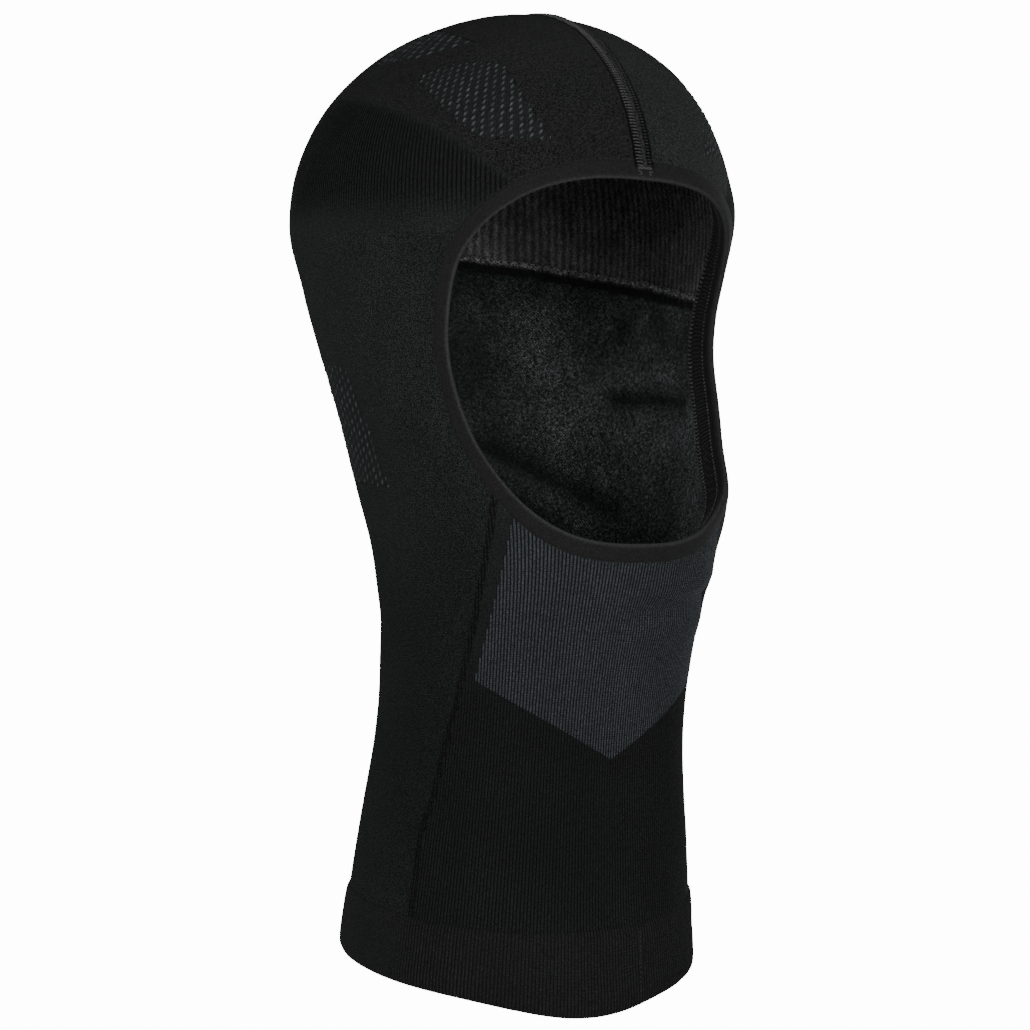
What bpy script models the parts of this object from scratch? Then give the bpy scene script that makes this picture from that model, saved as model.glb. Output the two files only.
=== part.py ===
"""Seamless-knit ski balaclava, modelled as it sits on a head.

The garment is one knitted tube with a closed crown. Each knit zone, binding,
hem, lining and seam is its own closed solid. Lengths are in millimetres and
angles in degrees until a mesh is written, which is in metres, +Z up.
The origin is the middle of the wearer's head at its widest level, the face
looks along -Y and +X is the wearer's left.

A place on the garment is (angle, rise): the angle around the head from the
middle of the face, towards the wearer's left, and the rise measured up the
garment from the widest level, like a tape laid up the cloth.
"""

import math

import bmesh
import bpy

MM = 0.001

# ---- head and neck form: the outer face of the knit ----
CROWN_RISE = 77.5
CROWN_APEX_Y = -9.0
CROWN_SIDE_POWER = 2.15
CROWN_FRONT_POWER = 1.92
CROWN_BACK_POWER = 2.05
SECTION_POWER = 2.15
# rise, half width, front y, back y: brow, eyes, nose, mouth, chin, jaw, throat, neck, collar, hem
FORM_LEVELS = (
    (0.0, 79.5, -89.0, 98.0),
    (-25.0, 77.0, -82.5, 88.0),
    (-50.0, 74.0, -78.0, 75.0),
    (-80.0, 70.0, -86.0, 62.0),
    (-105.0, 66.5, -91.0, 52.5),
    (-130.0, 62.0, -86.0, 45.0),
    (-160.0, 58.5, -75.0, 42.0),
    (-190.0, 57.5, -68.0, 44.0),
    (-230.0, 61.5, -66.5, 52.0),
    (-270.0, 65.5, -68.0, 62.0),
    (-300.0, 68.5, -69.5, 68.0),
)
APEX_RISE = CROWN_RISE * math.pi / 2
APEX_GAP = 0.6

# ---- hem: level behind, dipping at the front and riding up on the wearer's left ----
HEM_TOP = -257.0
HEM_BOTTOM = -281.5
HEM_LIFT = 5.0
HEM_LIFT_ANGLE = 62.0
HEM_LIFT_SPREAD = 30.0
HEM_DIP = 7.0
HEM_DIP_ANGLE = -8.0
HEM_DIP_SPREAD = 31.0
HEM_SEAM_ANGLES = (10.5, 11.6)
HEM_FRONT_DROP = 6.0
DROP_STARTS = -150.0

# ---- face opening, measured at the folded edge ----
RIM_HALF_WIDTH = 59.5
RIM_MIDDLE = -38.0
RIM_RISE = 44.5
RIM_FALL = 86.0
RIM_POWER = 2.8
BINDING_WIDTH = 7.0
FACING_WIDTH = 14.0

# ---- cloth layers, as depths below the outer face ----
KNIT = (0.0, -1.2)
MESH_KNIT = (-0.1, -0.9)
LINING = (-1.75, -2.85)
CLEARANCE = 0.3
THREAD = 0.4

# ---- knit zones, as (angle, rise) corners on the wearer's left ----
CHIN_CORNER = (54.0, -172.0)
CHIN_TIP = (0.0, -199.0)
CHIN_TOP_ANGLE = 40.8
CHIN_SIDE_TOP = -114.0
CHIN_HIDDEN_TOP = -100.0
LADDER_LINE = ((43.0, -95.0), (51.0, -130.0), (56.0, -158.0), (62.3, -187.0), (69.8, -228.0), (70.5, -262.0))
LADDER_STRIP_WIDTH = 3.0
NECK_MM_PER_DEGREE = 1.05
FRONT_MESH = ((60.5, 48.5), (48.4, 54.5), (33.8, 53.5), (21.4, 18.7), (38.8, 20.6))
BACK_MESH = ((44.0, 66.5), (62.0, 60.0), (92.0, 62.0), (106.0, 74.0), (72.0, 84.0))
NAPE_MESH = ((94.0, -58.0), (87.0, -103.0), (122.0, -100.0), (136.0, -52.0))

# ---- lining's upper edge, with a bead from behind one cheek to the other ----
LINING_TOP = -3.5
LINING_SLOPE = 23.5
LINING_BEND = 1.25
BEAD_START = 58.0

# ---- size of the flat facets ----
COLUMN_ANGLE = 10.0
ROW_RISE = 12.0
WAIST = -64.0
FLAT_MM_PER_DEGREE = 1.2
RIM_STATIONS = 44
BEAD_STATIONS = 28
SEAM_FRONT_STATIONS = 16
SEAM_BACK_STATIONS = 11


def clear_scene():
    """Remove whatever objects the file holds."""
    for item in list(bpy.data.objects):
        bpy.data.objects.remove(item, do_unlink=True)


def power_of(value, exponent):
    """The power of a signed value, keeping its sign."""
    return math.copysign(abs(value) ** exponent, value)


def form_value(rise, column):
    """A column of FORM_LEVELS at any rise, on one smooth curve that is upright at the top."""
    rows = FORM_LEVELS
    index = 0
    while index < len(rows) - 2 and rise < rows[index + 1][0]:
        index += 1
    upper, lower = rows[index], rows[index + 1]

    def slope(k):
        if k == 0:
            return 0.0
        above, below = rows[k - 1], rows[min(k + 1, len(rows) - 1)]
        return (below[column] - above[column]) / (below[0] - above[0])

    span = lower[0] - upper[0]
    t = (rise - upper[0]) / span
    start = (2 * t**3 - 3 * t**2 + 1) * upper[column] + (t**3 - 2 * t**2 + t) * span * slope(index)
    end = (3 * t**2 - 2 * t**3) * lower[column] + (t**3 - t**2) * span * slope(index + 1)
    return start + end


def section(rise):
    """Half width, front y and back y of the garment at a rise."""
    if rise <= 0:
        return tuple(form_value(rise, column) for column in (1, 2, 3))
    height = math.sin(min(rise / CROWN_RISE, math.pi / 2))
    half_width, front, back = FORM_LEVELS[0][1:]

    def shrink(power):
        return (1 - height**power) ** (1 / power)

    return (
        half_width * shrink(CROWN_SIDE_POWER),
        CROWN_APEX_Y + (front - CROWN_APEX_Y) * shrink(CROWN_FRONT_POWER),
        CROWN_APEX_Y + (back - CROWN_APEX_Y) * shrink(CROWN_BACK_POWER),
    )


def swell(angle, middle, spread):
    """A smooth swell around the garment: 1 at its middle and nothing far from it."""
    return math.exp(-(((angle - middle) / spread) ** 2))


def hem_top(angle):
    """The line where the knit zones end and the hem begins."""
    return HEM_TOP + HEM_LIFT * swell(angle, HEM_LIFT_ANGLE, HEM_LIFT_SPREAD)


def hem_bottom(angle):
    """The folded lower edge."""
    return HEM_BOTTOM - HEM_DIP * swell(angle, HEM_DIP_ANGLE, HEM_DIP_SPREAD)


def height_at(angle, rise):
    """The height of a place: the crown is round, and the neck hangs lower in front."""
    if rise > 0:
        return CROWN_RISE * math.sin(min(rise / CROWN_RISE, math.pi / 2))
    t = min(max((DROP_STARTS - rise) / (DROP_STARTS - HEM_TOP), 0.0), 1.0)
    return rise - HEM_FRONT_DROP * math.cos(math.radians(angle)) * t * t * (3 - 2 * t)


def outer_point(angle, rise):
    """A point on the outer face of the knit."""
    half_width, front, back = section(rise)
    middle = (front + back) / 2
    half_depth = (back - front) / 2
    sine, cosine = math.sin(math.radians(angle)), math.cos(math.radians(angle))
    sum_of_powers = abs(sine / half_width) ** SECTION_POWER + abs(cosine / half_depth) ** SECTION_POWER
    radius = sum_of_powers ** (-1 / SECTION_POWER)
    return (radius * sine, middle - radius * cosine, height_at(angle, rise))


def tangents(angle, rise):
    """The two directions on the cloth, in millimetres per degree and per millimetre of rise."""
    turn, step = 0.05, 0.05
    top = min(rise + step, APEX_RISE - 0.01)
    low = rise - step
    east, west = outer_point(angle + turn, rise), outer_point(angle - turn, rise)
    north, south = outer_point(angle, top), outer_point(angle, low)
    around = [(p - q) / (2 * turn) for p, q in zip(east, west)]
    upward = [(p - q) / (top - low) for p, q in zip(north, south)]
    return around, upward


def cross(p, q):
    return (p[1] * q[2] - p[2] * q[1], p[2] * q[0] - p[0] * q[2], p[0] * q[1] - p[1] * q[0])


def length(p):
    return math.sqrt(sum(value * value for value in p))


def cloth_point(angle, rise, depth):
    """A point a given depth off the outer face: positive stands proud of it."""
    around, upward = tangents(angle, rise)
    normal = cross(around, upward)
    size = length(normal)
    return tuple(p + depth * n / size for p, n in zip(outer_point(angle, rise), normal))


def shifted(places, distance, closed):
    """A line of places moved sideways over the cloth, to the right of its direction."""
    moved = []
    count = len(places)
    for index, (angle, rise) in enumerate(places):
        before = places[index - 1] if closed or index else places[index]
        after = places[(index + 1) % count] if closed or index < count - 1 else places[index]
        around, upward = tangents(angle, rise)
        across, along = length(around), length(upward)
        east = (after[0] - before[0]) * across
        north = (after[1] - before[1]) * along
        size = math.hypot(east, north)
        moved.append((angle + distance * north / size / across, rise - distance * east / size / along))
    return moved


def rise_of(height):
    """The rise whose height is given, on the head."""
    if height <= 0:
        return height
    return CROWN_RISE * math.asin(min(height / CROWN_RISE, 1.0))


def rim_place(turn):
    """A place on the folded edge of the face opening: 0 at the brow, then to the wearer's left."""
    sine, cosine = math.sin(2 * math.pi * turn), math.cos(2 * math.pi * turn)
    x = RIM_HALF_WIDTH * power_of(sine, 2 / RIM_POWER)
    reach = RIM_RISE if cosine > 0 else RIM_FALL
    rise = rise_of(RIM_MIDDLE + reach * power_of(cosine, 2 / RIM_POWER))
    half_width, front, back = section(rise)
    forward = (back - front) / 2 * (1 - abs(x / half_width) ** SECTION_POWER) ** (1 / SECTION_POWER)
    return (math.degrees(math.atan2(x, forward)), rise)


def rim_line(distance):
    """The edge of the face opening, moved out over the cloth by a distance."""
    return shifted([rim_place(index / RIM_STATIONS) for index in range(RIM_STATIONS)], -distance, True)


def rib_top(angle):
    """The upper edge of the head's rib zone, high behind and sloping down to the temples."""
    slope = 50.0 - 46.0 * ((180.0 - abs(angle)) / 150.0) ** 4.5
    return max(slope, rib_low(angle) + ROW_RISE)


def rib_low(angle):
    """The lower edge of the head's rib zone."""
    return -8.0 - 7.0 * math.cos(math.radians(angle))


def ladder_angle(rise):
    """The angle of the shaping line that runs down the neck beside the front rib."""
    points = LADDER_LINE
    for (start, high), (end, low) in zip(points, points[1:]):
        if rise >= low:
            return start + (end - start) * (high - rise) / (high - low)
    return points[-1][0]


def ladder_offset():
    """Half the strip's width, as an angle."""
    return LADDER_STRIP_WIDTH / 2 / NECK_MM_PER_DEGREE


def chin_outline():
    """The chin panel: level top hidden behind the binding, straight sides and a V below."""
    angle, rise = CHIN_CORNER
    return (
        (-CHIN_TOP_ANGLE, CHIN_HIDDEN_TOP),
        (-CHIN_TOP_ANGLE, CHIN_SIDE_TOP),
        (-angle, rise),
        CHIN_TIP,
        (angle, rise),
        (CHIN_TOP_ANGLE, CHIN_SIDE_TOP),
        (CHIN_TOP_ANGLE, CHIN_HIDDEN_TOP),
    )


def is_inside(place, outline):
    """Whether a place lies inside a closed outline."""
    x, y = place
    inside = False
    for (ax, ay), (bx, by) in zip(outline, outline[1:] + outline[:1]):
        if (ay > y) != (by > y) and x < ax + (bx - ax) * (y - ay) / (by - ay):
            inside = not inside
    return inside


def knit_zone(place, groove):
    """The name of the knit zone that a place belongs to, or None in the face opening."""
    angle, rise = place
    side = "right" if angle < 0 else "left"
    size = (abs(angle), rise)
    if is_inside(place, groove):
        return None
    if rise > rib_top(angle):
        if is_inside(size, FRONT_MESH):
            return "crown_front_mesh_" + side
        if is_inside(size, BACK_MESH):
            return "crown_back_mesh_" + side
        return "crown_panel_" + side
    if rise > rib_low(angle):
        return "head_rib_zone"
    if is_inside(place, chin_outline()):
        return "chin_panel"
    if size[0] < ladder_angle(rise) - ladder_offset():
        return "neck_front_rib"
    if size[0] < ladder_angle(rise) + ladder_offset():
        return "neck_ladder_strip_" + side
    if is_inside(size, NAPE_MESH):
        return "nape_mesh_" + side
    return "side_and_nape_panel"


def lining_zone(place, opening):
    """The lining lies behind the face opening's facing and below the head's rib zone."""
    angle, rise = place
    if is_inside(place, opening) or rise > lining_top(angle):
        return None
    return "inner_lining"


def lining_top(angle):
    """The upper edge of the lining, highest behind and sloping down towards the cheeks."""
    from_back = abs(180.0 - abs(angle))
    return LINING_TOP - LINING_SLOPE * (from_back / 100.0) ** LINING_BEND


def both_sides(line):
    return [list(line), [(-angle, rise) for angle, rise in line]]


def back_to_start(outline):
    """An outline with its first point repeated at the end."""
    return list(outline) + [outline[0]]


def flat_tube(lines, counts):
    """The cloth laid flat in columns and rows, x around and y up; the rows follow the given lines."""
    mesh = bmesh.new()
    columns = round(360 / COLUMN_ANGLE)
    grid = []
    for column in range(columns + 1):
        angle = -180.0 + COLUMN_ANGLE * column
        rises = [lines[0](angle)]
        for low, high, count in zip(lines, lines[1:], counts):
            rises += [low(angle) + (high(angle) - low(angle)) * (row + 1) / count for row in range(count)]
        grid.append([mesh.verts.new((angle * FLAT_MM_PER_DEGREE, rise, 0)) for rise in rises])
    for west, east in zip(grid, grid[1:]):
        for row in range(len(west) - 1):
            mesh.faces.new((west[row], east[row], east[row + 1], west[row + 1]))
    return mesh


def level_line(rise):
    """A line around the garment at one rise."""
    return lambda angle: rise


def faces_on(mesh, start, end):
    """The flat faces whose box a short straight cut passes through."""
    margin = 0.01
    found = []
    for face in mesh.faces:
        xs = [vert.co.x for vert in face.verts]
        ys = [vert.co.y for vert in face.verts]
        low, high = 0.0, 1.0
        for origin, other, small, large in (
            (start[0], end[0], min(xs) - margin, max(xs) + margin),
            (start[1], end[1], min(ys) - margin, max(ys) + margin),
        ):
            travel = other - origin
            if abs(travel) < 1e-9:
                if not small <= origin <= large:
                    low, high = 1.0, 0.0
                continue
            first, last = sorted(((small - origin) / travel, (large - origin) / travel))
            low, high = max(low, first), min(high, last)
        if low <= high:
            found.append(face)
    return found


def cut_along(mesh, line):
    """Cut the flat cloth along a line of places, only where the line runs."""
    for first, second in zip(line, line[1:]):
        start = (first[0] * FLAT_MM_PER_DEGREE, first[1])
        end = (second[0] * FLAT_MM_PER_DEGREE, second[1])
        faces = faces_on(mesh, start, end)
        edges = {edge for face in faces for edge in face.edges}
        verts = {vert for face in faces for vert in face.verts}
        bmesh.ops.bisect_plane(
            mesh,
            geom=list(faces) + list(edges) + list(verts),
            plane_co=(start[0], start[1], 0),
            plane_no=(end[1] - start[1], start[0] - end[0], 0),
            dist=0.02,
        )


def finish_flat(mesh):
    """Merge cuts that fall on each other and leave only triangles."""
    bmesh.ops.remove_doubles(mesh, verts=mesh.verts, dist=0.12)
    bmesh.ops.triangulate(mesh, faces=mesh.faces)
    bmesh.ops.dissolve_degenerate(mesh, edges=mesh.edges, dist=0.12)
    bmesh.ops.triangulate(mesh, faces=mesh.faces)


def sorted_zones(mesh, zone_of):
    """The flat triangles of each zone, as corner indices into one list of places."""
    mesh.verts.index_update()
    places = [(vert.co.x / FLAT_MM_PER_DEGREE, vert.co.y) for vert in mesh.verts]
    zones = {}
    for face in mesh.faces:
        corners = [vert.index for vert in face.verts]
        if face.normal.z < 0:
            corners.reverse()
        middle = tuple(sum(places[corner][axis] for corner in corners) / 3 for axis in (0, 1))
        name = zone_of(middle)
        if name:
            zones.setdefault(name, []).append(corners)
    return places, zones


def on_back_line(place):
    return abs(abs(place[0]) - 180.0) < 0.01


def open_edges(triangles, places, wraps):
    """The directed edges with cloth on one side only; a wrapping zone is joined at the back line."""
    edges = {(a, b) for a, b, c in triangles} | {(b, c) for a, b, c in triangles}
    edges |= {(c, a) for a, b, c in triangles}
    border = [(a, b) for a, b in edges if (b, a) not in edges]
    if not wraps:
        return border
    return [(a, b) for a, b in border if not (on_back_line(places[a]) and on_back_line(places[b]))]


def trimmed(places, border, wraps):
    """The places with each border pulled in by half the clearance."""
    pulls = {}
    for a, b in border:
        angle = (places[a][0] + places[b][0]) / 2
        rise = (places[a][1] + places[b][1]) / 2
        around, upward = tangents(angle, rise)
        across, along = length(around), length(upward)
        east = (places[b][0] - places[a][0]) * across
        north = (places[b][1] - places[a][1]) * along
        size = math.hypot(east, north)
        for corner in (a, b):
            pulls.setdefault(corner, []).append((-north / size, east / size))
    moved = list(places)
    for corner, normals in pulls.items():
        east, north = (sum(normal[axis] for normal in normals) for axis in (0, 1))
        size = max(math.hypot(east, north), 0.2)
        reach = min(len(normals) / size, 1.6) * CLEARANCE / 2
        angle, rise = places[corner]
        around, upward = tangents(angle, rise)
        turn = reach * east / size / length(around)
        if wraps and on_back_line(places[corner]):
            turn = 0.0
        moved[corner] = (angle + turn, rise + reach * north / size / length(upward))
    return moved


def cloth_solid(name, triangles, places, layer, wraps, finish):
    """One zone as a closed solid between two depths."""
    border = open_edges(triangles, places, wraps)
    trimmed_places = trimmed(places, border, wraps)
    mesh = bmesh.new()
    layers = []
    for depth in layer:
        used = sorted({corner for triangle in triangles for corner in triangle})
        points = {corner: cloth_point(*trimmed_places[corner], depth) for corner in used}
        layers.append({c: mesh.verts.new([value * MM for value in p]) for c, p in points.items()})
    outer, inner = layers
    for a, b, c in triangles:
        mesh.faces.new((outer[a], outer[b], outer[c]))
        mesh.faces.new((inner[c], inner[b], inner[a]))
    for a, b in border:
        mesh.faces.new((outer[b], outer[a], inner[a]))
        mesh.faces.new((outer[b], inner[a], inner[b]))
    if wraps:
        bmesh.ops.remove_doubles(mesh, verts=mesh.verts, dist=0.02 * MM)
    return add_object(name, mesh, finish)


def add_object(name, mesh, finish):
    """Write a mesh to a named object with its own material."""
    if mesh.calc_volume(signed=True) < 0:
        bmesh.ops.reverse_faces(mesh, faces=mesh.faces)
    data = bpy.data.meshes.new(name)
    mesh.to_mesh(data)
    mesh.free()
    data.shade_smooth()
    data.set_sharp_from_angle(angle=math.radians(40))
    item = bpy.data.objects.new(name, data)
    bpy.context.scene.collection.objects.link(item)
    color, roughness = finish
    material = bpy.data.materials.new(name + "_material")
    material.use_nodes = True
    shader = material.node_tree.nodes["Principled BSDF"]
    shader.inputs["Base Color"].default_value = (*color, 1.0)
    shader.inputs["Roughness"].default_value = roughness
    shader.inputs["Metallic"].default_value = 0.0
    data.materials.append(material)
    return item


def swept_solid(name, stations, loops, finish):
    """A solid whose cross-section points are given at each station; loops joins the two ends."""
    mesh = bmesh.new()
    rings = [[mesh.verts.new([value * MM for value in point]) for point in ring] for ring in stations]
    pairs = list(zip(rings, rings[1:]))
    if loops:
        pairs.append((rings[-1], rings[0]))
    for near, far in pairs:
        count = len(near)
        for index in range(count):
            after = (index + 1) % count
            mesh.faces.new((near[index], near[after], far[after]))
            mesh.faces.new((near[index], far[after], far[index]))
    if not loops:
        mesh.faces.new(list(reversed(rings[0])))
        mesh.faces.new(rings[-1])
    bmesh.ops.triangulate(mesh, faces=[face for face in mesh.faces if len(face.verts) > 3])
    return add_object(name, mesh, finish)


def rim_solid(name, profile, finish):
    """A solid swept around the face opening; its profile is (distance from the fold, depth)."""
    lines = [rim_line(distance) for distance, _ in profile]
    stations = []
    for places in zip(*lines):
        stations.append([cloth_point(*place, depth) for place, (_, depth) in zip(places, profile)])
    return swept_solid(name, stations, True, finish)


def ring_solid(name, profile_at, finish):
    """A solid swept right around the neck; its profile at an angle is (rise, depth)."""
    count = round(360 / COLUMN_ANGLE)
    stations = []
    for index in range(count):
        angle = -180.0 + COLUMN_ANGLE * index
        stations.append([cloth_point(angle, rise, depth) for rise, depth in profile_at(angle)])
    return swept_solid(name, stations, True, finish)


def ridge_along_lining(name, profile, finish):
    """A bead along the lining's top edge, around the back of the head; profile is (rise, depth)."""
    stations = []
    for index in range(BEAD_STATIONS + 1):
        angle = BEAD_START + (360.0 - 2 * BEAD_START) * index / BEAD_STATIONS
        rise = lining_top(angle)
        stations.append([cloth_point(angle, rise + lift, depth) for lift, depth in profile])
    return swept_solid(name, stations, False, finish)


def seam_path():
    """Places up the middle of the brow, over the crown and down to the rib zone behind."""
    start = rim_line(BINDING_WIDTH)[0][1] + 1.0
    top = APEX_RISE - 2.0
    end = rib_top(180.0) + 0.5
    front = [start + (top - start) * index / SEAM_FRONT_STATIONS for index in range(SEAM_FRONT_STATIONS + 1)]
    back = [top + (end - top) * index / SEAM_BACK_STATIONS for index in range(SEAM_BACK_STATIONS + 1)]
    return [(0.0, rise) for rise in front] + [(180.0, rise) for rise in back]


def seam_solid(name, profile, finish):
    """A strip along the crown seam; its profile is (distance to the wearer's left, depth)."""
    stations = []
    for angle, rise in seam_path():
        base = outer_point(angle, rise)
        proud = cloth_point(angle, rise, 1.0)
        normal = [p - q for p, q in zip(proud, base)]
        ring = []
        for across, depth in profile:
            ring.append((across, base[1] + normal[1] * depth, base[2] + normal[2] * depth))
        stations.append(ring)
    return swept_solid(name, stations, False, finish)


def box_profile(low, high, bottom, top):
    return ((low, bottom), (high, bottom), (high, top), (low, top))


def patch_solid(name, angles, rises, depths, finish):
    """A small four-sided patch lying on the cloth."""
    stations = []
    for rise in rises:
        ring = [cloth_point(angle, rise, depths[0]) for angle in angles]
        ring += [cloth_point(angle, rise, depths[1]) for angle in reversed(angles)]
        stations.append(ring)
    return swept_solid(name, stations, False, finish)


BLACK_KNIT = ((0.012, 0.012, 0.012), 0.9)
BLACK_RIB = ((0.009, 0.009, 0.009), 0.9)
MESH_YARN = ((0.03, 0.031, 0.033), 0.85)
GREY_RIB = ((0.022, 0.024, 0.026), 0.9)
BINDING = ((0.02, 0.02, 0.02), 0.75)
FLEECE = ((0.014, 0.016, 0.017), 1.0)
SEWING_THREAD = ((0.035, 0.035, 0.035), 0.6)

ZONE_FINISHES = {
    "crown_panel": (KNIT, BLACK_KNIT),
    "crown_front_mesh": (MESH_KNIT, MESH_YARN),
    "crown_back_mesh": (MESH_KNIT, MESH_YARN),
    "head_rib_zone": (KNIT, BLACK_RIB),
    "side_and_nape_panel": (KNIT, BLACK_KNIT),
    "nape_mesh": (MESH_KNIT, MESH_YARN),
    "chin_panel": (KNIT, GREY_RIB),
    "neck_front_rib": (KNIT, BLACK_RIB),
    "neck_ladder_strip": (KNIT, BLACK_KNIT),
}
WRAPPING_ZONES = ("head_rib_zone", "side_and_nape_panel", "inner_lining")


def make_knit_zones():
    """Cut the outer tube along every change of stitch; its rows match the lining's to keep them apart."""
    lines = (hem_top, level_line(WAIST), lining_top, rib_low, rib_top, level_line(APEX_RISE - APEX_GAP))
    mesh = flat_tube(lines, (13, 4, 1, 4, 6))
    groove = rim_line(BINDING_WIDTH + CLEARANCE / 2)
    cut_along(mesh, back_to_start(groove))
    for offset in (-ladder_offset(), ladder_offset()):
        line = [(angle + offset, rise) for angle, rise in LADDER_LINE]
        for side in both_sides(line):
            cut_along(mesh, side)
    cut_along(mesh, chin_outline())
    for outline in (FRONT_MESH, BACK_MESH, NAPE_MESH):
        for side in both_sides(back_to_start(outline)):
            cut_along(mesh, side)
    finish_flat(mesh)
    places, zones = sorted_zones(mesh, lambda place: knit_zone(place, groove))
    mesh.free()
    for name, triangles in sorted(zones.items()):
        kind = name.removesuffix("_right").removesuffix("_left")
        layer, finish = ZONE_FINISHES[kind]
        cloth_solid(name, triangles, places, layer, name in WRAPPING_ZONES, finish)


def make_lining():
    """The brushed inner layer, from the hem up to a beaded edge behind the rib zone."""
    mesh = flat_tube((hem_top, level_line(WAIST), lining_top), (13, 4))
    opening = rim_line(FACING_WIDTH + 1.5)
    cut_along(mesh, back_to_start(opening))
    finish_flat(mesh)
    places, zones = sorted_zones(mesh, lambda place: lining_zone(place, opening))
    mesh.free()
    cloth_solid("inner_lining", zones["inner_lining"], places, LINING, True, FLEECE)
    bead = ((0.4, -2.4), (0.4, -3.4), (1.7, -4.1), (3.0, -3.4), (3.0, -2.4))
    ridge_along_lining("lining_top_bead", bead, FLEECE)


def make_face_binding():
    """The folded binding around the face: its facing leans in from the shell, with two stitch rows."""
    binding = (
        (BINDING_WIDTH, 0.45),
        (4.0, 0.6),
        (1.2, 0.4),
        (0.1, -0.2),
        (-0.3, -1.2),
        (0.1, -2.2),
        (1.5, -2.9),
        (BINDING_WIDTH, -4.6),
        (FACING_WIDTH, -7.8),
        (FACING_WIDTH, -6.7),
        (BINDING_WIDTH, -3.0),
    )
    front_row = ((2.6, -3.5), (2.6, -3.85), (4.6, -4.5), (4.6, -4.15))
    back_row = ((10.6, -6.5), (10.6, -6.85), (12.6, -7.8), (12.6, -7.45))
    rim_solid("face_binding", binding, BINDING)
    rim_solid("binding_stitch_row_front", front_row, SEWING_THREAD)
    rim_solid("binding_stitch_row_back", back_row, SEWING_THREAD)


def hem_profile(angle):
    """The doubled hem in section: two layers joined by a round fold at the bottom."""
    top, bottom = hem_top(angle) - CLEARANCE, hem_bottom(angle)
    return (
        (top, 0.3),
        (top - 2.7, 0.7),
        (bottom + 6.0, 0.7),
        (bottom + 1.4, 0.2),
        (bottom, -1.3),
        (bottom + 1.4, -2.8),
        (bottom + 6.0, -3.2),
        (top - 2.7, -3.2),
        (top, -2.8),
    )


def make_hem():
    """The turned double hem, and the short join seam on its outer face."""
    ring_solid("neck_hem", hem_profile, BLACK_KNIT)
    low, high = hem_bottom(HEM_SEAM_ANGLES[0]) + 6.0, hem_top(HEM_SEAM_ANGLES[0]) - 3.0
    rises = [low + (high - low) * index / 3 for index in range(4)]
    patch_solid("hem_join_seam", HEM_SEAM_ANGLES, rises, (1.0, 1.0 + THREAD), SEWING_THREAD)


def make_crown_seam():
    """The seam over the crown: a raised welt between two rows of stitching, tacked at the brow."""
    seam_solid("crown_seam_welt", box_profile(-1.0, 1.0, 0.3, 1.1), BLACK_KNIT)
    seam_solid("crown_seam_ladder_stitch", box_profile(-3.6, -1.3, 0.3, 0.3 + THREAD), SEWING_THREAD)
    seam_solid("crown_seam_edge_stitch", box_profile(1.3, 3.2, 0.3, 0.3 + THREAD), SEWING_THREAD)
    fold = rim_line(0.0)[0][1]
    rises = (fold + 3.2, fold + 4.8)
    patch_solid("brow_bar_tack", (-2.0, 0.0, 2.0), rises, (0.9, 1.5), SEWING_THREAD)


clear_scene()
make_knit_zones()
make_lining()
make_face_binding()
make_hem()
make_crown_seam()
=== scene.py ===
"""The looks of a seamless-knit ski balaclava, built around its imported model.

The garment is described as part.py describes it: a place on the cloth is
(angle, rise), in degrees around the head from the middle of the face towards
the wearer's left, and in millimetres up the cloth from the widest level. Every
piece is cut flat in that chart, lifted on to the head form and given its own
knit relief. Lengths are in millimetres until a mesh is written.
"""

import itertools
import math

import bmesh
import bpy
import numpy as np
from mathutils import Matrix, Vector


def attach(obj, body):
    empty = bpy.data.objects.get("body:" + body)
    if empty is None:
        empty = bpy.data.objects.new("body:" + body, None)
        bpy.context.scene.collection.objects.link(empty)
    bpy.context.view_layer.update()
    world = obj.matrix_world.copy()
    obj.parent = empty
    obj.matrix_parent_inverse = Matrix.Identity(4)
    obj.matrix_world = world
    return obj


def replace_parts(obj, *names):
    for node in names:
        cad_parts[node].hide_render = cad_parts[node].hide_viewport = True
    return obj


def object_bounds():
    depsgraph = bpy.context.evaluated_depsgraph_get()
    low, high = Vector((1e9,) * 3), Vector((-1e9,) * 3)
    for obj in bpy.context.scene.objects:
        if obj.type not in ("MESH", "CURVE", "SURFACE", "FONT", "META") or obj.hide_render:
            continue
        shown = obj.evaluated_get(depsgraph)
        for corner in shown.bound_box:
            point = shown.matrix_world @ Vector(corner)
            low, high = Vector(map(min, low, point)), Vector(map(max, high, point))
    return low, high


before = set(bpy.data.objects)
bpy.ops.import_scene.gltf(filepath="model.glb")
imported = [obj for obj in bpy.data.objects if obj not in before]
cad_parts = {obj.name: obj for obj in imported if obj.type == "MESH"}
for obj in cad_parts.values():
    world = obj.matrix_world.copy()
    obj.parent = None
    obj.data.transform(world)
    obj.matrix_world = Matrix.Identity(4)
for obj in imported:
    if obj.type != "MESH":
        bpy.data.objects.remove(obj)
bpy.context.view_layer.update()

MM = 0.001

# ---- head and neck form, the outer face of the knit ----
CROWN_RISE = 77.5
CROWN_APEX_Y = -9.0
CROWN_POWERS = (2.15, 1.92, 2.05)
SECTION_POWER = 2.15
# rise, half width, front y, back y: brow, eyes, nose, mouth, chin, jaw, throat, neck, collar, hem
FORM_LEVELS = np.array((
    (0.0, 79.5, -89.0, 98.0),
    (-25.0, 77.0, -82.5, 88.0),
    (-50.0, 74.0, -78.0, 75.0),
    (-80.0, 70.0, -86.0, 62.0),
    (-105.0, 66.5, -91.0, 52.5),
    (-130.0, 62.0, -86.0, 45.0),
    (-160.0, 58.5, -75.0, 42.0),
    (-190.0, 57.5, -68.0, 44.0),
    (-230.0, 61.5, -66.5, 52.0),
    (-270.0, 65.5, -68.0, 62.0),
    (-300.0, 68.5, -69.5, 68.0),
))
APEX_RISE = CROWN_RISE * math.pi / 2
APEX_GAP = 0.3

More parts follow.
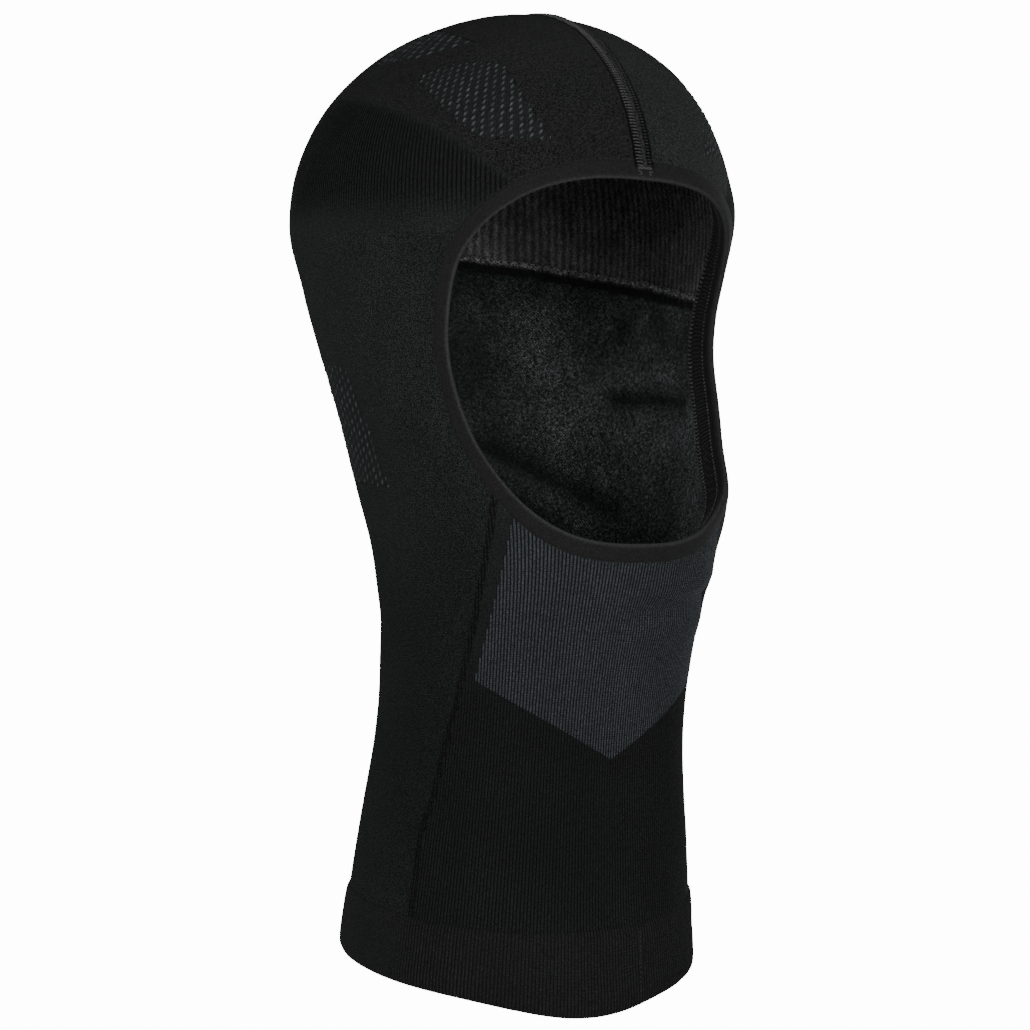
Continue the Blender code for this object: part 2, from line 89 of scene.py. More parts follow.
# ---- hem and face opening ----
HEM_TOP = -257.0
HEM_BOTTOM = -281.5
HEM_LIFT = 5.0
HEM_LIFT_ANGLE = 62.0
HEM_LIFT_SPREAD = 30.0
HEM_DIP = 7.0
HEM_DIP_ANGLE = -8.0
HEM_DIP_SPREAD = 31.0
HEM_FRONT_DROP = 6.0
DROP_STARTS = -150.0
HEM_SEAM_STITCHES = 15
RIM_HALF_WIDTH = 59.5
RIM_MIDDLE = -38.0
RIM_RISE = 44.5
RIM_FALL = 86.0
RIM_POWER = 2.8
# millimetres out from the fold: the band's edge, and where the shell and the lining are cut
BINDING_WIDTH = 7.0
SHELL_CUT = 3.6
LINING_CUT = 13.0
# share of its width that the band keeps everywhere, and again at the cheeks
BAND_SHARE = 0.9
CHEEK_BAND = 0.76
BINDING_STATIONS = 840
FACING_SLOPE = 0.457
FACING_STITCHES = 330
EDGE_STITCHES = 200

# ---- crown seam ----
SEAM_LOWEST = 3.7
SEAM_STATIONS = 1000
LADDER_RUNGS = 165
SUNK_STITCHES = 170
TACK_BARS = 5

# ---- creases of the worn cloth: two ends, millimetres off the form, reach ----
CREASES = (
    ((46.0, -143.0), (6.0, -149.0), -1.7, 3.6),
    ((48.0, -136.0), (10.0, -141.0), 0.9, 6.0),
    ((50.0, -152.0), (8.0, -156.0), 0.7, 6.0),
    ((160.0, -150.0), (118.0, -140.0), -0.5, 7.0),
    ((-150.0, -158.0), (-112.0, -150.0), -0.3, 7.0),
    ((50.0, 2.0), (56.0, -16.0), 1.9, 13.0),
    ((44.0, -106.0), (52.0, -114.0), 1.4, 12.0),
    ((-120.0, -26.0), (-96.0, -34.0), -0.8, 6.0),
    ((-100.0, -196.0), (-62.0, -215.0), -0.6, 8.0),
    ((70.0, -205.0), (105.0, -196.0), -0.6, 8.0),
)

# ---- knit zones, as (angle, rise) corners on the wearer's left ----
CHIN_CORNER = (54.0, -172.0)
CHIN_TIP = (0.0, -199.0)
CHIN_TOP_ANGLE = 40.8
CHIN_SIDE_TOP = -114.0
CHIN_HIDDEN_TOP = -98.0
LADDER_LINE = ((43.0, -95.0), (51.0, -130.0), (56.0, -158.0), (62.3, -187.0), (69.8, -228.0), (70.5, -262.0))
LADDER_HALF_ANGLE = 1.43
FRONT_MESH = ((60.5, 48.5), (48.4, 54.5), (33.8, 53.5), (21.4, 18.7), (38.8, 20.6))
BACK_MESH = ((44.0, 66.5), (62.0, 60.0), (92.0, 62.0), (106.0, 74.0), (72.0, 84.0))
NAPE_MESH = ((94.0, -58.0), (87.0, -103.0), (122.0, -100.0), (136.0, -52.0))

# ---- lining's upper edge ----
LINING_TOP = -3.5
LINING_SLOPE = 23.5
LINING_BEND = 1.25
LINING_BACK = 1.5
RIDGE_STATIONS = 1100

# ---- knit gauge ----
RIB_COUNT = 314
RIB_ANGLE = 360.0 / RIB_COUNT
RIB_DEPTH = 0.42
SHELL_THICKNESS = 1.2
HEM_RIB_DEPTH = 0.34
FLAT_MM_PER_DEGREE = 1.2
MESH_PITCH = 2.6
MESH_SPACING = 3.1
MESH_LEAN = 0.5
# scale of the noise that stands for single fibres
FINE_GRAIN = 1900.0
SHARP_ANGLE = 55.0
# rise and lightness of the knit there
STRETCH_TONES = (
    (-290.0, 0.8), (-255.0, 0.78), (-225.0, 0.67), (-190.0, 0.6), (-150.0, 0.64), (-110.0, 0.88),
    (-60.0, 1.0), (20.0, 1.0), (60.0, 0.96), (122.0, 0.92),
)

# ---- lining: folds as two ends, millimetres inwards and reach ----
FLEECE_FOLDS = (
    ((118.0, -57.0), (86.0, -58.0), 1.8, 4.0),
    ((116.0, -66.0), (84.0, -68.0), -2.6, 3.5),
    ((190.0, -70.0), (122.0, -111.0), -2.2, 4.5),
    ((184.0, -82.0), (135.0, -115.0), 1.8, 4.5),
    ((180.0, -93.0), (150.0, -115.0), -1.8, 4.0),
)
# upright streaks of painted light on the lining, drawn as fuller pile: angle, top and bottom rise, half
# width in degrees
PAINTED_LIGHT_STREAKS = (
    (138.0, -22.0, -105.0, 6.0),
    (158.0, -14.0, -45.0, 5.0),
    (107.0, -40.0, -62.0, 6.0),
    (99.0, -74.0, -98.0, 7.0),
    (84.0, -20.0, -50.0, 7.0),
)

# ---- camera: the direction it looks in, and where it stands ----
VIEW_AZIMUTH = -32.0
VIEW_DISTANCE = 0.903
VIEW_SHIFT = 0.0007
VIEW_HEIGHT = -0.113
VIEW_LENS = 81.5

# ---- light, and the lamps as name, place, power and size ----
BACKDROP_STRENGTH = 14.0
SURROUND_STRENGTH = 0.12
FLOOR_REACH = 30.0
LAMPS_AIM = (0.0, 0.0, -0.06)
LAMPS = (
    ("key", (-0.05, -1.75, -0.08), 41.0, 1.0),
    ("fill", (-1.6, -0.75, -0.05), 30.0, 1.2),
    ("left_edge", (1.65, 0.35, 0.0), 9.0, 1.2),
    ("back", (-0.9, 1.6, 0.3), 4.0, 1.2),
)


# ======== arithmetic and noise ========

def turned(angle):
    """The same direction as an angle from -180 to 180."""
    return (np.asarray(angle) + 180.0) % 360.0 - 180.0


def unit(vectors):
    return vectors / np.linalg.norm(vectors, axis=-1, keepdims=True)


def run_of(points):
    """How far along a line of points each one lies."""
    return np.concatenate([[0], np.cumsum(np.linalg.norm(np.diff(points, axis=0), axis=1))])


def soft_step(value, start, end):
    share = np.clip((value - start) / (end - start), 0, 1)
    return share * share * (3 - 2 * share)


def lattice(index, seed):
    """A repeatable value from 0 to 1 for each whole-number place."""
    mixed = index[..., 0] * 374761393 + index[..., 1] * 668265263 + index[..., 2] * 1103515245 + seed * 69069
    mixed = mixed & 0xFFFFFFFF
    mixed = ((mixed ^ (mixed >> 13)) * 1274126177) & 0xFFFFFFFF
    return ((mixed ^ (mixed >> 16)) & 0xFFFFFF) / 0xFFFFFF


def soft_noise(points, size, seed):
    """Smooth noise from -1 to 1 at points, with features of the given size."""
    scaled = np.asarray(points) / size
    base = np.floor(scaled).astype(np.int64)
    part = scaled - base
    part = part * part * (3 - 2 * part)
    total = 0.0
    for corner in itertools.product((0, 1), repeat=3):
        weight = np.prod(np.where(np.array(corner) > 0, part, 1 - part), axis=-1)
        total = total + weight * lattice(base + np.array(corner), seed)
    return 2 * total - 1


# ======== the form ========

def form_columns(rise):
    """Half width, front y and back y at or below the widest level, on smooth curves."""
    rises, values = FORM_LEVELS[:, 0], FORM_LEVELS[:, 1:]
    slopes = np.zeros_like(values)
    slopes[1:-1] = (values[2:] - values[:-2]) / (rises[2:] - rises[:-2])[:, None]
    slopes[-1] = (values[-1] - values[-2]) / (rises[-1] - rises[-2])
    index = np.clip(np.searchsorted(-rises[1:], -rise), 0, len(rises) - 2)
    span = (rises[index + 1] - rises[index])[..., None]
    t = ((rise - rises[index])[..., None]) / span
    start = (2 * t**3 - 3 * t**2 + 1) * values[index] + (t**3 - 2 * t**2 + t) * span * slopes[index]
    return start + (3 * t**2 - 2 * t**3) * values[index + 1] + (t**3 - t**2) * span * slopes[index + 1]


def swell(angle, middle, spread):
    """A smooth swell around the garment: 1 at its middle and nothing far from it."""
    return np.exp(-(((turned(angle) - middle) / spread) ** 2))


def hem_top(angle):
    return HEM_TOP + HEM_LIFT * swell(angle, HEM_LIFT_ANGLE, HEM_LIFT_SPREAD)


def hem_bottom(angle):
    return HEM_BOTTOM - HEM_DIP * swell(angle, HEM_DIP_ANGLE, HEM_DIP_SPREAD)


def outer_point(angle, rise):
    """Points on the plain outer face of the knit."""
    angle, rise = np.broadcast_arrays(np.asarray(angle, float), np.asarray(rise, float))
    height = np.sin(np.clip(rise / CROWN_RISE, 0, math.pi / 2))
    half_width, front, back = np.moveaxis(form_columns(np.minimum(rise, 0)), -1, 0)
    side, fore, aft = ((1 - height**power) ** (1 / power) for power in CROWN_POWERS)
    half_width = half_width * side
    front = CROWN_APEX_Y + (front - CROWN_APEX_Y) * fore
    back = CROWN_APEX_Y + (back - CROWN_APEX_Y) * aft
    sine, cosine = np.sin(np.radians(angle)), np.cos(np.radians(angle))
    ratio = np.abs(sine / half_width) ** SECTION_POWER + np.abs(2 * cosine / (back - front)) ** SECTION_POWER
    radius = ratio ** (-1 / SECTION_POWER)
    drop = np.clip((DROP_STARTS - rise) / (DROP_STARTS - HEM_TOP), 0, 1)
    hung = rise - HEM_FRONT_DROP * cosine * drop**2 * (3 - 2 * drop)
    z = np.where(rise > 0, CROWN_RISE * height, hung)
    return np.stack([radius * sine, (front + back) / 2 - radius * cosine, z], axis=-1)


def outward(angle, rise):
    """The direction off the cloth at each place, and the two lengths on it per degree and per mm."""
    step = 0.05
    high = np.minimum(rise + step, APEX_RISE - 0.01)
    around = (outer_point(angle + step, rise) - outer_point(angle - step, rise)) / (2 * step)
    upward = (outer_point(angle, high) - outer_point(angle, rise - step)) / (high - rise + step)[..., None]
    return unit(np.cross(around, upward)), np.linalg.norm(around, axis=-1), np.linalg.norm(upward, axis=-1)


def fold_line(angle, rise, start, end, reach):
    """How near each place is to a short crease between two places: 1 on it, 0 beyond reach."""
    east = (angle - start[0]) * FLAT_MM_PER_DEGREE
    north = rise - start[1]
    span = np.array([(end[0] - start[0]) * FLAT_MM_PER_DEGREE, end[1] - start[1]])
    along = np.clip((east * span[0] + north * span[1]) / (span @ span), 0, 1)
    return np.exp(-((east - along * span[0]) ** 2 + (north - along * span[1]) ** 2) / reach**2)


def folded(angle, rise, folds):
    """How far a set of creases moves the cloth at each place."""
    height = 0.0
    for start, end, size, reach in folds:
        height = height + size * fold_line(angle, rise, start, end, reach)
    return height


def slack(angle, rise, points):
    """How far the cloth on the head stands off the plain form, from loose areas and creases."""
    loose = 0.55 * soft_noise(points, 46.0, 3) + 0.22 * soft_noise(points, 17.0, 4)
    return loose + folded(turned(angle), rise, CREASES)


def cloth(angle, rise, depth):
    """Points a given depth off the outer face of the cloth on the head: positive stands proud of it."""
    angle, rise, depth = np.broadcast_arrays(
        np.asarray(angle, float), np.asarray(rise, float), np.asarray(depth, float)
    )
    points = outer_point(angle, rise)
    normal = outward(angle, rise)[0]
    return points + normal * (depth + slack(angle, rise, points))[..., None]


# ======== lines on the cloth ========

def power_of(value, exponent):
    return np.copysign(np.abs(value) ** exponent, value)


def moved_out(angle, rise, distance):
    """A closed line moved out sideways over the cloth by a distance."""
    east, north = np.roll(angle, -1) - np.roll(angle, 1), np.roll(rise, -1) - np.roll(rise, 1)
    _, across, along = outward(angle, rise)
    east, north = east * across, north * along
    size = np.hypot(east, north)
    return angle - distance * north / size / across, rise + distance * east / size / along


def rim_line(distance, count):
    """Evenly spaced places along the fold of the face opening, moved out by a distance."""
    turn = np.linspace(0, 1, 4001)[:-1] * 2 * math.pi
    x = RIM_HALF_WIDTH * power_of(np.sin(turn), 2 / RIM_POWER)
    reach = np.where(np.cos(turn) > 0, RIM_RISE, RIM_FALL)
    height = RIM_MIDDLE + reach * power_of(np.cos(turn), 2 / RIM_POWER)
    rise = np.where(height > 0, CROWN_RISE * np.arcsin(np.clip(height / CROWN_RISE, 0, 1)), height)
    probe = outer_point(np.full_like(rise, 90.0), rise)[:, 0]
    front = outer_point(np.zeros_like(rise), rise)[:, 1]
    back = outer_point(np.full_like(rise, 180.0), rise)[:, 1]
    forward = (back - front) / 2 * (1 - np.abs(x / probe) ** SECTION_POWER) ** (1 / SECTION_POWER)
    angle = np.degrees(np.arctan2(x, forward))
    points = outer_point(angle, rise)
    travelled = run_of(np.vstack([points, points[:1]]))
    wanted = np.arange(count) * travelled[-1] / count
    angle = np.interp(wanted, travelled, np.append(angle, angle[0]))
    rise = np.interp(wanted, travelled, np.append(rise, rise[0]))
    return moved_out(angle, rise, distance)


def places(line):
    return list(zip(*line))


def rib_low(angle):
    return -8.0 - 7.0 * np.cos(np.radians(angle))


def rib_top(angle):
    from_back = 180.0 - np.abs(turned(angle))
    return np.maximum(50.0 - 46.0 * (from_back / 150.0) ** 4.5, rib_low(angle) + 12.0)


def lining_top(angle):
    from_back = np.abs(180.0 - np.abs(angle))
    return LINING_TOP - LINING_SLOPE * (from_back / 100.0) ** LINING_BEND


def ladder_angle(rise):
    line = np.array(LADDER_LINE)[::-1]
    return np.interp(rise, line[:, 1], line[:, 0])


def stepped(start, end):
    """A slanted knit edge, which climbs one rib at a time."""
    low, high = round(start[0] / RIB_ANGLE), round(end[0] / RIB_ANGLE)
    way = 1 if high > low else -1
    line = []
    for rib in range(low, high, way):
        share = (rib + way / 2 - low) / (high - low)
        rise = start[1] + (end[1] - start[1]) * share
        line += [(rib * RIB_ANGLE, rise), ((rib + way) * RIB_ANGLE, rise)]
    return line


def chin_outline():
    """The chin panel's outline in steps of one rib, closed behind the binding."""
    left = stepped(CHIN_TIP, CHIN_CORNER) + stepped(CHIN_CORNER, (CHIN_TOP_ANGLE, CHIN_SIDE_TOP))
    left.append((left[-1][0], CHIN_HIDDEN_TOP))
    return [(-angle, rise) for angle, rise in reversed(left)] + left


def inside(angle, rise, outline):
    """Whether each place lies inside a closed outline."""
    found = np.zeros(np.shape(angle), bool)
    for (ax, ay), (bx, by) in zip(outline, list(outline[1:]) + [outline[0]]):
        if ay != by:
            crossing = ax + (bx - ax) * (rise - ay) / (by - ay)
            found ^= ((ay > rise) != (by > rise)) & (angle < crossing)
    return found


def knit_zone(angle, rise):
    """The knit zone that each place belongs to, without its side."""
    angle = turned(angle)
    size = np.abs(angle)
    above = rise > rib_top(angle)
    middle = ladder_angle(rise)
    tests = (
        (inside(angle, rise, GROOVE) | (rise < hem_top(angle)), "open"),
        (above & inside(size, rise, FRONT_MESH), "crown_front_mesh"),
        (above & inside(size, rise, BACK_MESH), "crown_back_mesh"),
        (above, "crown_panel"),
        (rise > rib_low(angle), "head_rib_zone"),
        (inside(angle, rise, CHIN_OUTLINE), "chin_panel"),
        (size < middle - LADDER_HALF_ANGLE, "neck_front_rib"),
        (size < middle + LADDER_HALF_ANGLE, "neck_ladder_strip"),
        (inside(size, rise, NAPE_MESH), "nape_mesh"),
    )
    return np.select([test for test, _ in tests], [name for _, name in tests], "side_and_nape_panel")


def lining_zone(angle, rise):
    angle = turned(angle)
    shut = inside(angle, rise, LINING_OPENING) | (rise > lining_top(angle)) | (rise < hem_top(angle))
    return np.where(shut, "open", "inner_lining")


def ring_of(outline):
    return list(outline) + [outline[0]]


def lines_around(*edges):
    """Lines right around the garment at the heights that the edges say."""
    angles = np.arange(-180.0, 181.0, 1.5)
    return [list(zip(angles, edge(angles))) for edge in edges]


def zone_edges():
    """Every line where one knit zone ends and the next begins, on both sides of the head."""
    lines = [ring_of(GROOVE), CHIN_OUTLINE] + lines_around(hem_top, rib_low, rib_top)
    halves = [ring_of(FRONT_MESH), ring_of(BACK_MESH), ring_of(NAPE_MESH)]
    for offset in (-LADDER_HALF_ANGLE, LADDER_HALF_ANGLE):
        halves.append([(angle + offset, rise) for angle, rise in LADDER_LINE])
    for half in halves:
        lines += [half, [(-angle, rise) for angle, rise in half]]
    return lines


def both_charts(lines):
    """Each line in the two charts that meet at the back of the head."""
    return lines + [[(angle + 360.0, rise) for angle, rise in line] for line in lines]


# ======== cutting flat cloth ========

def flat_cloth(chart, columns, rows):
    """A flat grid of cloth over a chart of (first angle, last angle, low rise, high rise)."""
    first, last, low, high = chart
    angles = np.linspace(first, last, columns + 1) * FLAT_MM_PER_DEGREE
    rises = np.linspace(low, high, rows + 1)
    x, y = np.meshgrid(angles, rises)
    verts = np.stack([x.ravel(), y.ravel(), np.zeros(x.size)], axis=1)
    corner = (np.arange(rows)[:, None] * (columns + 1) + np.arange(columns)).ravel()
    faces = np.stack([corner, corner + 1, corner + columns + 2, corner + columns + 1], axis=1)
    data = bpy.data.meshes.new("flat")
    data.from_pydata(verts.tolist(), [], faces.tolist())
    mesh = bmesh.new()
    mesh.from_mesh(data)
    bpy.data.meshes.remove(data)
    return mesh


def box_of(face):
    """A flat face's left, right, bottom and top."""
    xs = [vert.co.x for vert in face.verts]
    ys = [vert.co.y for vert in face.verts]
    return min(xs), max(xs), min(ys), max(ys)


def crosses(face, start, end, margin):
    """Whether a straight cut passes through a face's box."""
    box = box_of(face)
    low, high = 0.0, 1.0
    for axis in (0, 1):
        travel = end[axis] - start[axis]
        small, large = box[2 * axis] - margin, box[2 * axis + 1] + margin
        if abs(travel) < 1e-9:
            if not small <= start[axis] <= large:
                return False
            continue
        first, last = sorted(((small - start[axis]) / travel, (large - start[axis]) / travel))
        low, high = max(low, first), min(high, last)
    return low <= high


def cut_along(mesh, lines):
    """Cut the flat cloth along lines of places, only where each line runs."""
    mesh.faces.ensure_lookup_table()
    boxes = np.array([box_of(face) for face in mesh.faces])
    first_faces = list(mesh.faces)
    fresh = []
    margin = 0.02
    for line in lines:
        scaled = [(angle * FLAT_MM_PER_DEGREE, rise) for angle, rise in line]
        for (ax, ay), (bx, by) in zip(scaled, scaled[1:]):
            near = np.flatnonzero(
                (boxes[:, 0] < max(ax, bx) + margin) & (boxes[:, 1] > min(ax, bx) - margin)
                & (boxes[:, 2] < max(ay, by) + margin) & (boxes[:, 3] > min(ay, by) - margin)
            )
            faces = {first_faces[index] for index in near}
            faces |= {face for face in fresh if face.is_valid}
            faces = [face for face in faces if face.is_valid and crosses(face, (ax, ay), (bx, by), margin)]
            if not faces:
                continue
            edges = {edge for face in faces for edge in face.edges}
            verts = {vert for face in faces for vert in face.verts}
            result = bmesh.ops.bisect_plane(
                mesh, geom=faces + list(edges) + list(verts), dist=0.01,
                plane_co=(ax, ay, 0), plane_no=(by - ay, ax - bx, 0),
            )
            fresh = [item for item in result["geom"] if isinstance(item, bmesh.types.BMFace)]


def cut_cloth(chart, columns, rows, lines, zone_of, name):
    """The places and faces of the cloth inside one zone."""
    mesh = flat_cloth(chart, columns, rows)
    cut_along(mesh, lines)
    bmesh.ops.remove_doubles(mesh, verts=mesh.verts, dist=0.04)
    mesh.verts.index_update()
    spots = np.array([(vert.co.x / FLAT_MM_PER_DEGREE, vert.co.y) for vert in mesh.verts])
    faces = [[vert.index for vert in face.verts] for face in mesh.faces]
    mesh.free()
    middles = np.array([spots[face].mean(axis=0) for face in faces])
    mine = zone_of(middles[:, 0], middles[:, 1]) == name
    faces = [face for face, keep in zip(faces, mine) if keep]
    used = sorted({corner for face in faces for corner in face})
    new_index = {corner: index for index, corner in enumerate(used)}
    return spots[used], [[new_index[corner] for corner in face] for face in faces]


# ======== writing meshes ========

def write_mesh(name, verts, faces, material, cloth_uv=None, attributes=None):
    """A mesh object from points in millimetres; cloth_uv gives each vertex its place on the knit."""
    data = bpy.data.meshes.new(name)
    data.from_pydata((np.asarray(verts) * MM).tolist(), [], [list(map(int, face)) for face in faces])
    corners = np.zeros(len(data.loops), dtype=np.int32)
    data.loops.foreach_get("vertex_index", corners)
    if cloth_uv is not None:
        layer = data.uv_layers.new(name="cloth")
        layer.data.foreach_set("uv", np.asarray(cloth_uv, dtype=np.float32)[corners].ravel())
    for label, values in (attributes or {}).items():
        field = data.attributes.new(label, "FLOAT", "POINT")
        field.data.foreach_set("value", np.asarray(values, dtype=np.float32))
    data.shade_smooth()
    data.set_sharp_from_angle(angle=math.radians(SHARP_ANGLE))
    data.materials.append(MATERIALS[material])
    item = bpy.data.objects.new(name, data)
    bpy.context.scene.collection.objects.link(item)
    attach(item, "root")
    return item


def border_of(faces, spots, wraps):
    """The edges with cloth on one side only; a wrapping piece is joined at the back line."""
    edges = set()
    for face in faces:
        edges.update(zip(face, face[1:] + face[:1]))
    border = [(a, b) for a, b in edges if (b, a) not in edges]
    if wraps:
        back = np.abs(np.abs(spots[:, 0]) - 180.0) < 0.01
        border = [(a, b) for a, b in border if not (back[a] and back[b])]
    return border


def knit_piece(name, spots, faces, depths, material, uv_of, wraps=False, mask=None, inner=None):
    """A piece of cloth as a closed solid; depths are two functions of place, outer and inner."""
    angle, rise = spots[:, 0], spots[:, 1]
    outer, under = (cloth(angle, rise, depth(angle, rise)) for depth in depths)
    count = len(spots)
    solid = faces + [[corner + count for corner in reversed(face)] for face in faces]
    solid += [[b, a, a + count, b + count] for a, b in border_of(faces, spots, wraps)]
    uv = uv_of(angle, rise, outer)
    attributes = {"tone": np.tile(stretch_tone(rise), 2)}
    if mask is not None:
        # on the lining this mask also carries painted light and shade
        attributes["raised"] = np.tile(mask(angle, rise), 2)
    points = np.vstack([outer, under])
    item = write_mesh(name, points, solid, material, np.vstack([uv, uv]), attributes)
    if inner is not None:
        item.data.materials.append(MATERIALS[inner])
        for polygon in item.data.polygons[len(faces):2 * len(faces)]:
            polygon.material_index = 1
    if wraps:
        weld(item.data)
    return item


def weld(data):
    mesh = bmesh.new()
    mesh.from_mesh(data)
    bmesh.ops.remove_doubles(mesh, verts=mesh.verts, dist=0.005 * MM)
    mesh.to_mesh(data)
    mesh.free()


def tube_faces(stations, count, loops, base=0):
    """The faces of a tube through rings of points, capped at its ends if it doesn't loop."""
    index = base + np.arange(stations * count).reshape(stations, count)
    following = np.roll(index, -1, axis=0)
    if not loops:
        index, following = index[:-1], following[:-1]
    beside, across = np.roll(index, -1, axis=1), np.roll(following, -1, axis=1)
    faces = np.stack([index, beside, across, following], axis=-1).reshape(-1, 4).tolist()
    if not loops:
        faces += [index[0, ::-1].tolist(), following[-1].tolist()]
    return faces


def swept(name, rings, material, loops, uv, masks):
    """A solid through rings of points, stations by points; uv and masks are spread over them."""
    shape = rings.shape[:2]
    cloth_uv = np.stack([np.broadcast_to(values, shape) for values in uv], axis=-1).reshape(-1, 2)
    masks = {label: np.broadcast_to(values, shape).ravel() for label, values in masks.items()}
    return write_mesh(name, rings.reshape(-1, 3), tube_faces(*shape, loops), material, cloth_uv, masks)


def smooth_loop(points, steps):
    """A closed outline rounded through its points."""
    points = np.array(points, float)
    t = (np.arange(steps) / steps)[None, :, None]
    p, q, r, s = (np.roll(points, shift, axis=0)[:, None, :] for shift in (1, 0, -1, -2))
    curve = q + 0.5 * t * (r - p + t * (2 * p - 5 * q + 4 * r - s + t * (3 * (q - r) + s - p)))
    return curve.reshape(-1, points.shape[1])


def threads(name, strands, radius, material, sides=6):
    """Many short lengths of thread as one piece; each strand is a list of points."""
    verts, faces = [], []
    turn = (np.arange(sides) * 2 * math.pi / sides)[None, :, None]
    for points in strands:
        tangent = unit(np.gradient(points, axis=0))
        spare = np.where(np.abs(tangent[:, 2:3]) < 0.8, (0.0, 0.0, 1.0), (1.0, 0.0, 0.0))
        first = unit(np.cross(tangent, spare))
        second = np.cross(tangent, first)
        width = np.full(len(points), radius)
        width[[0, -1]] *= 0.45
        ring = first[:, None] * np.cos(turn) + second[:, None] * np.sin(turn)
        faces += tube_faces(len(points), sides, False, len(verts))
        verts.extend((points[:, None] + ring * width[:, None, None]).reshape(-1, 3))
    return write_mesh(name, np.array(verts), faces, material)


def sew(node, strands, radius, material):
    """The thread of a row of stitches, in place of the node of that name."""
    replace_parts(threads(node + "_thread", strands, radius, material), node)


# ======== relief of each knit ========

def rib_relief(angle, depth=RIB_DEPTH):
    """A narrow groove between rounded ribs."""
    return -depth * (0.5 + 0.5 * np.cos(2 * math.pi * angle / RIB_ANGLE)) ** 1.5


def ribbed(strength):
    """The relief of a rib zone, whose ribs stand up as strongly as strength says at each place."""
    def relief(angle, rise):
        uneven = 0.05 * soft_noise(outer_point(angle, rise), 2.5, 9)
        return rib_relief(angle) * strength(angle, rise) + uneven
    return relief


def plain(angle, rise):
    return 0.06 * soft_noise(outer_point(angle, rise), 3.0, 11)


def level(value):
    """The same depth or strength at every place."""
    return lambda angle, rise: np.full(np.shape(angle), value)


def ribbed_inside(angle, rise):
    return -1.25 - rib_relief(angle + RIB_ANGLE / 2, 0.1)


def mesh_dots(ribs, pitch):
    """The raised slanted loops of a vent patch, one to every few ribs: 1 on a loop, 0 between."""
    def dots(angle, rise):
        column = np.floor(angle / (ribs * RIB_ANGLE))
        best = np.zeros(np.shape(angle))
        for beside in (-1, 0, 1):
            mine = column + beside
            drift = lattice(np.stack([mine, mine, mine], axis=-1).astype(np.int64), 84)
            shift = 0.42 * (mine % 2) + 0.2 * drift
            row = np.round(rise / pitch + shift)
            place = np.stack([mine, row, 0 * row], axis=-1).astype(np.int64)
            up = rise - (row - shift) * pitch - 0.3 * (lattice(place, 81) - 0.5)
            side = angle / (ribs * RIB_ANGLE) - mine - 0.5 - 0.12 * (lattice(place, 82) - 0.5)
            across = side * MESH_SPACING - MESH_LEAN * up * MESH_PITCH / pitch
            distance = (across / 0.54) ** 2 + (up * MESH_PITCH / pitch) ** 2
            best = np.maximum(best, np.clip(1.2 - distance, 0, 1) * (0.45 + 0.55 * lattice(place, 83)))
        return best
    return dots


def mesh_relief(dots):
    return lambda angle, rise: 0.55 * dots(angle, rise) - 0.5


def stretch_tone(rise):
    """How light the knit looks for how far it is stretched: most around the head, least at the neck."""
    rises, tones = np.array(STRETCH_TONES).T
    return np.interp(rise, rises, tones)


def head_ribs(angle, rise):
    """The ribs around the head fade out at the zone's upper and lower edges."""
    return soft_step(rib_top(angle) - rise, -1.0, 4.0) * soft_step(rise - rib_low(angle), 0.0, 17.0)


def neck_ribs(angle, rise):
    """The ribs in front of the neck fade in below the chin panel's corners."""
    return soft_step(-rise, 150.0, 185.0)


# ======== material nodes ========

def node_of(tree, kind, **settings):
    node = tree.nodes.new(kind)
    for name, value in settings.items():
        setattr(node, name, value)
    return node


def joined(source, target):
    source.id_data.links.new(source, target)


def worked_out(operation, first, second=None):
    """Arithmetic on one or two values, each a number or a socket."""
    values = (first, second)
    tree = next(value.id_data for value in values if hasattr(value, "id_data"))
    node = node_of(tree, "ShaderNodeMath", operation=operation)
    for socket, value in zip(node.inputs, values):
        if hasattr(value, "id_data"):
            joined(value, socket)
        elif value is not None:
            socket.default_value = value
    return node.outputs[0]


def times(first, second):
    return worked_out("MULTIPLY", first, second)


def plus(first, second):
    return worked_out("ADD", first, second)


def off_middle(value):
    """How far a share is from a half."""
    return worked_out("ABSOLUTE", worked_out("SUBTRACT", value, 0.5))


def noise_of(vector, scale, detail=3.0):
    node = node_of(vector.id_data, "ShaderNodeTexNoise")
    node.inputs["Scale"].default_value = scale
    node.inputs["Detail"].default_value = detail
    joined(vector, node.inputs["Vector"])
    return node.outputs["Fac"]


def blended(share, dark, light):
    """A colour between two, by a share from 0 to 1."""
    node = node_of(share.id_data, "ShaderNodeMix", data_type="RGBA", clamp_factor=True)
    for socket, value in ((node.inputs[0], share), (node.inputs[6], dark), (node.inputs[7], light)):
        if isinstance(value, tuple):
            socket.default_value = (*value, 1.0)
        else:
            joined(value, socket)
    return node.outputs[2]


def stretched(value, low, high, new_low=0.0, new_high=1.0):
    node = node_of(value.id_data, "ShaderNodeMapRange", clamp=True)
    joined(value, node.inputs[0])
    for index, number in enumerate((low, high, new_low, new_high), start=1):
        node.inputs[index].default_value = number
    return node.outputs[0]


def marked(shader, label):
    """A mask that the mesh carries at its points."""
    return node_of(shader.id_data, "ShaderNodeAttribute", attribute_name=label).outputs["Fac"]


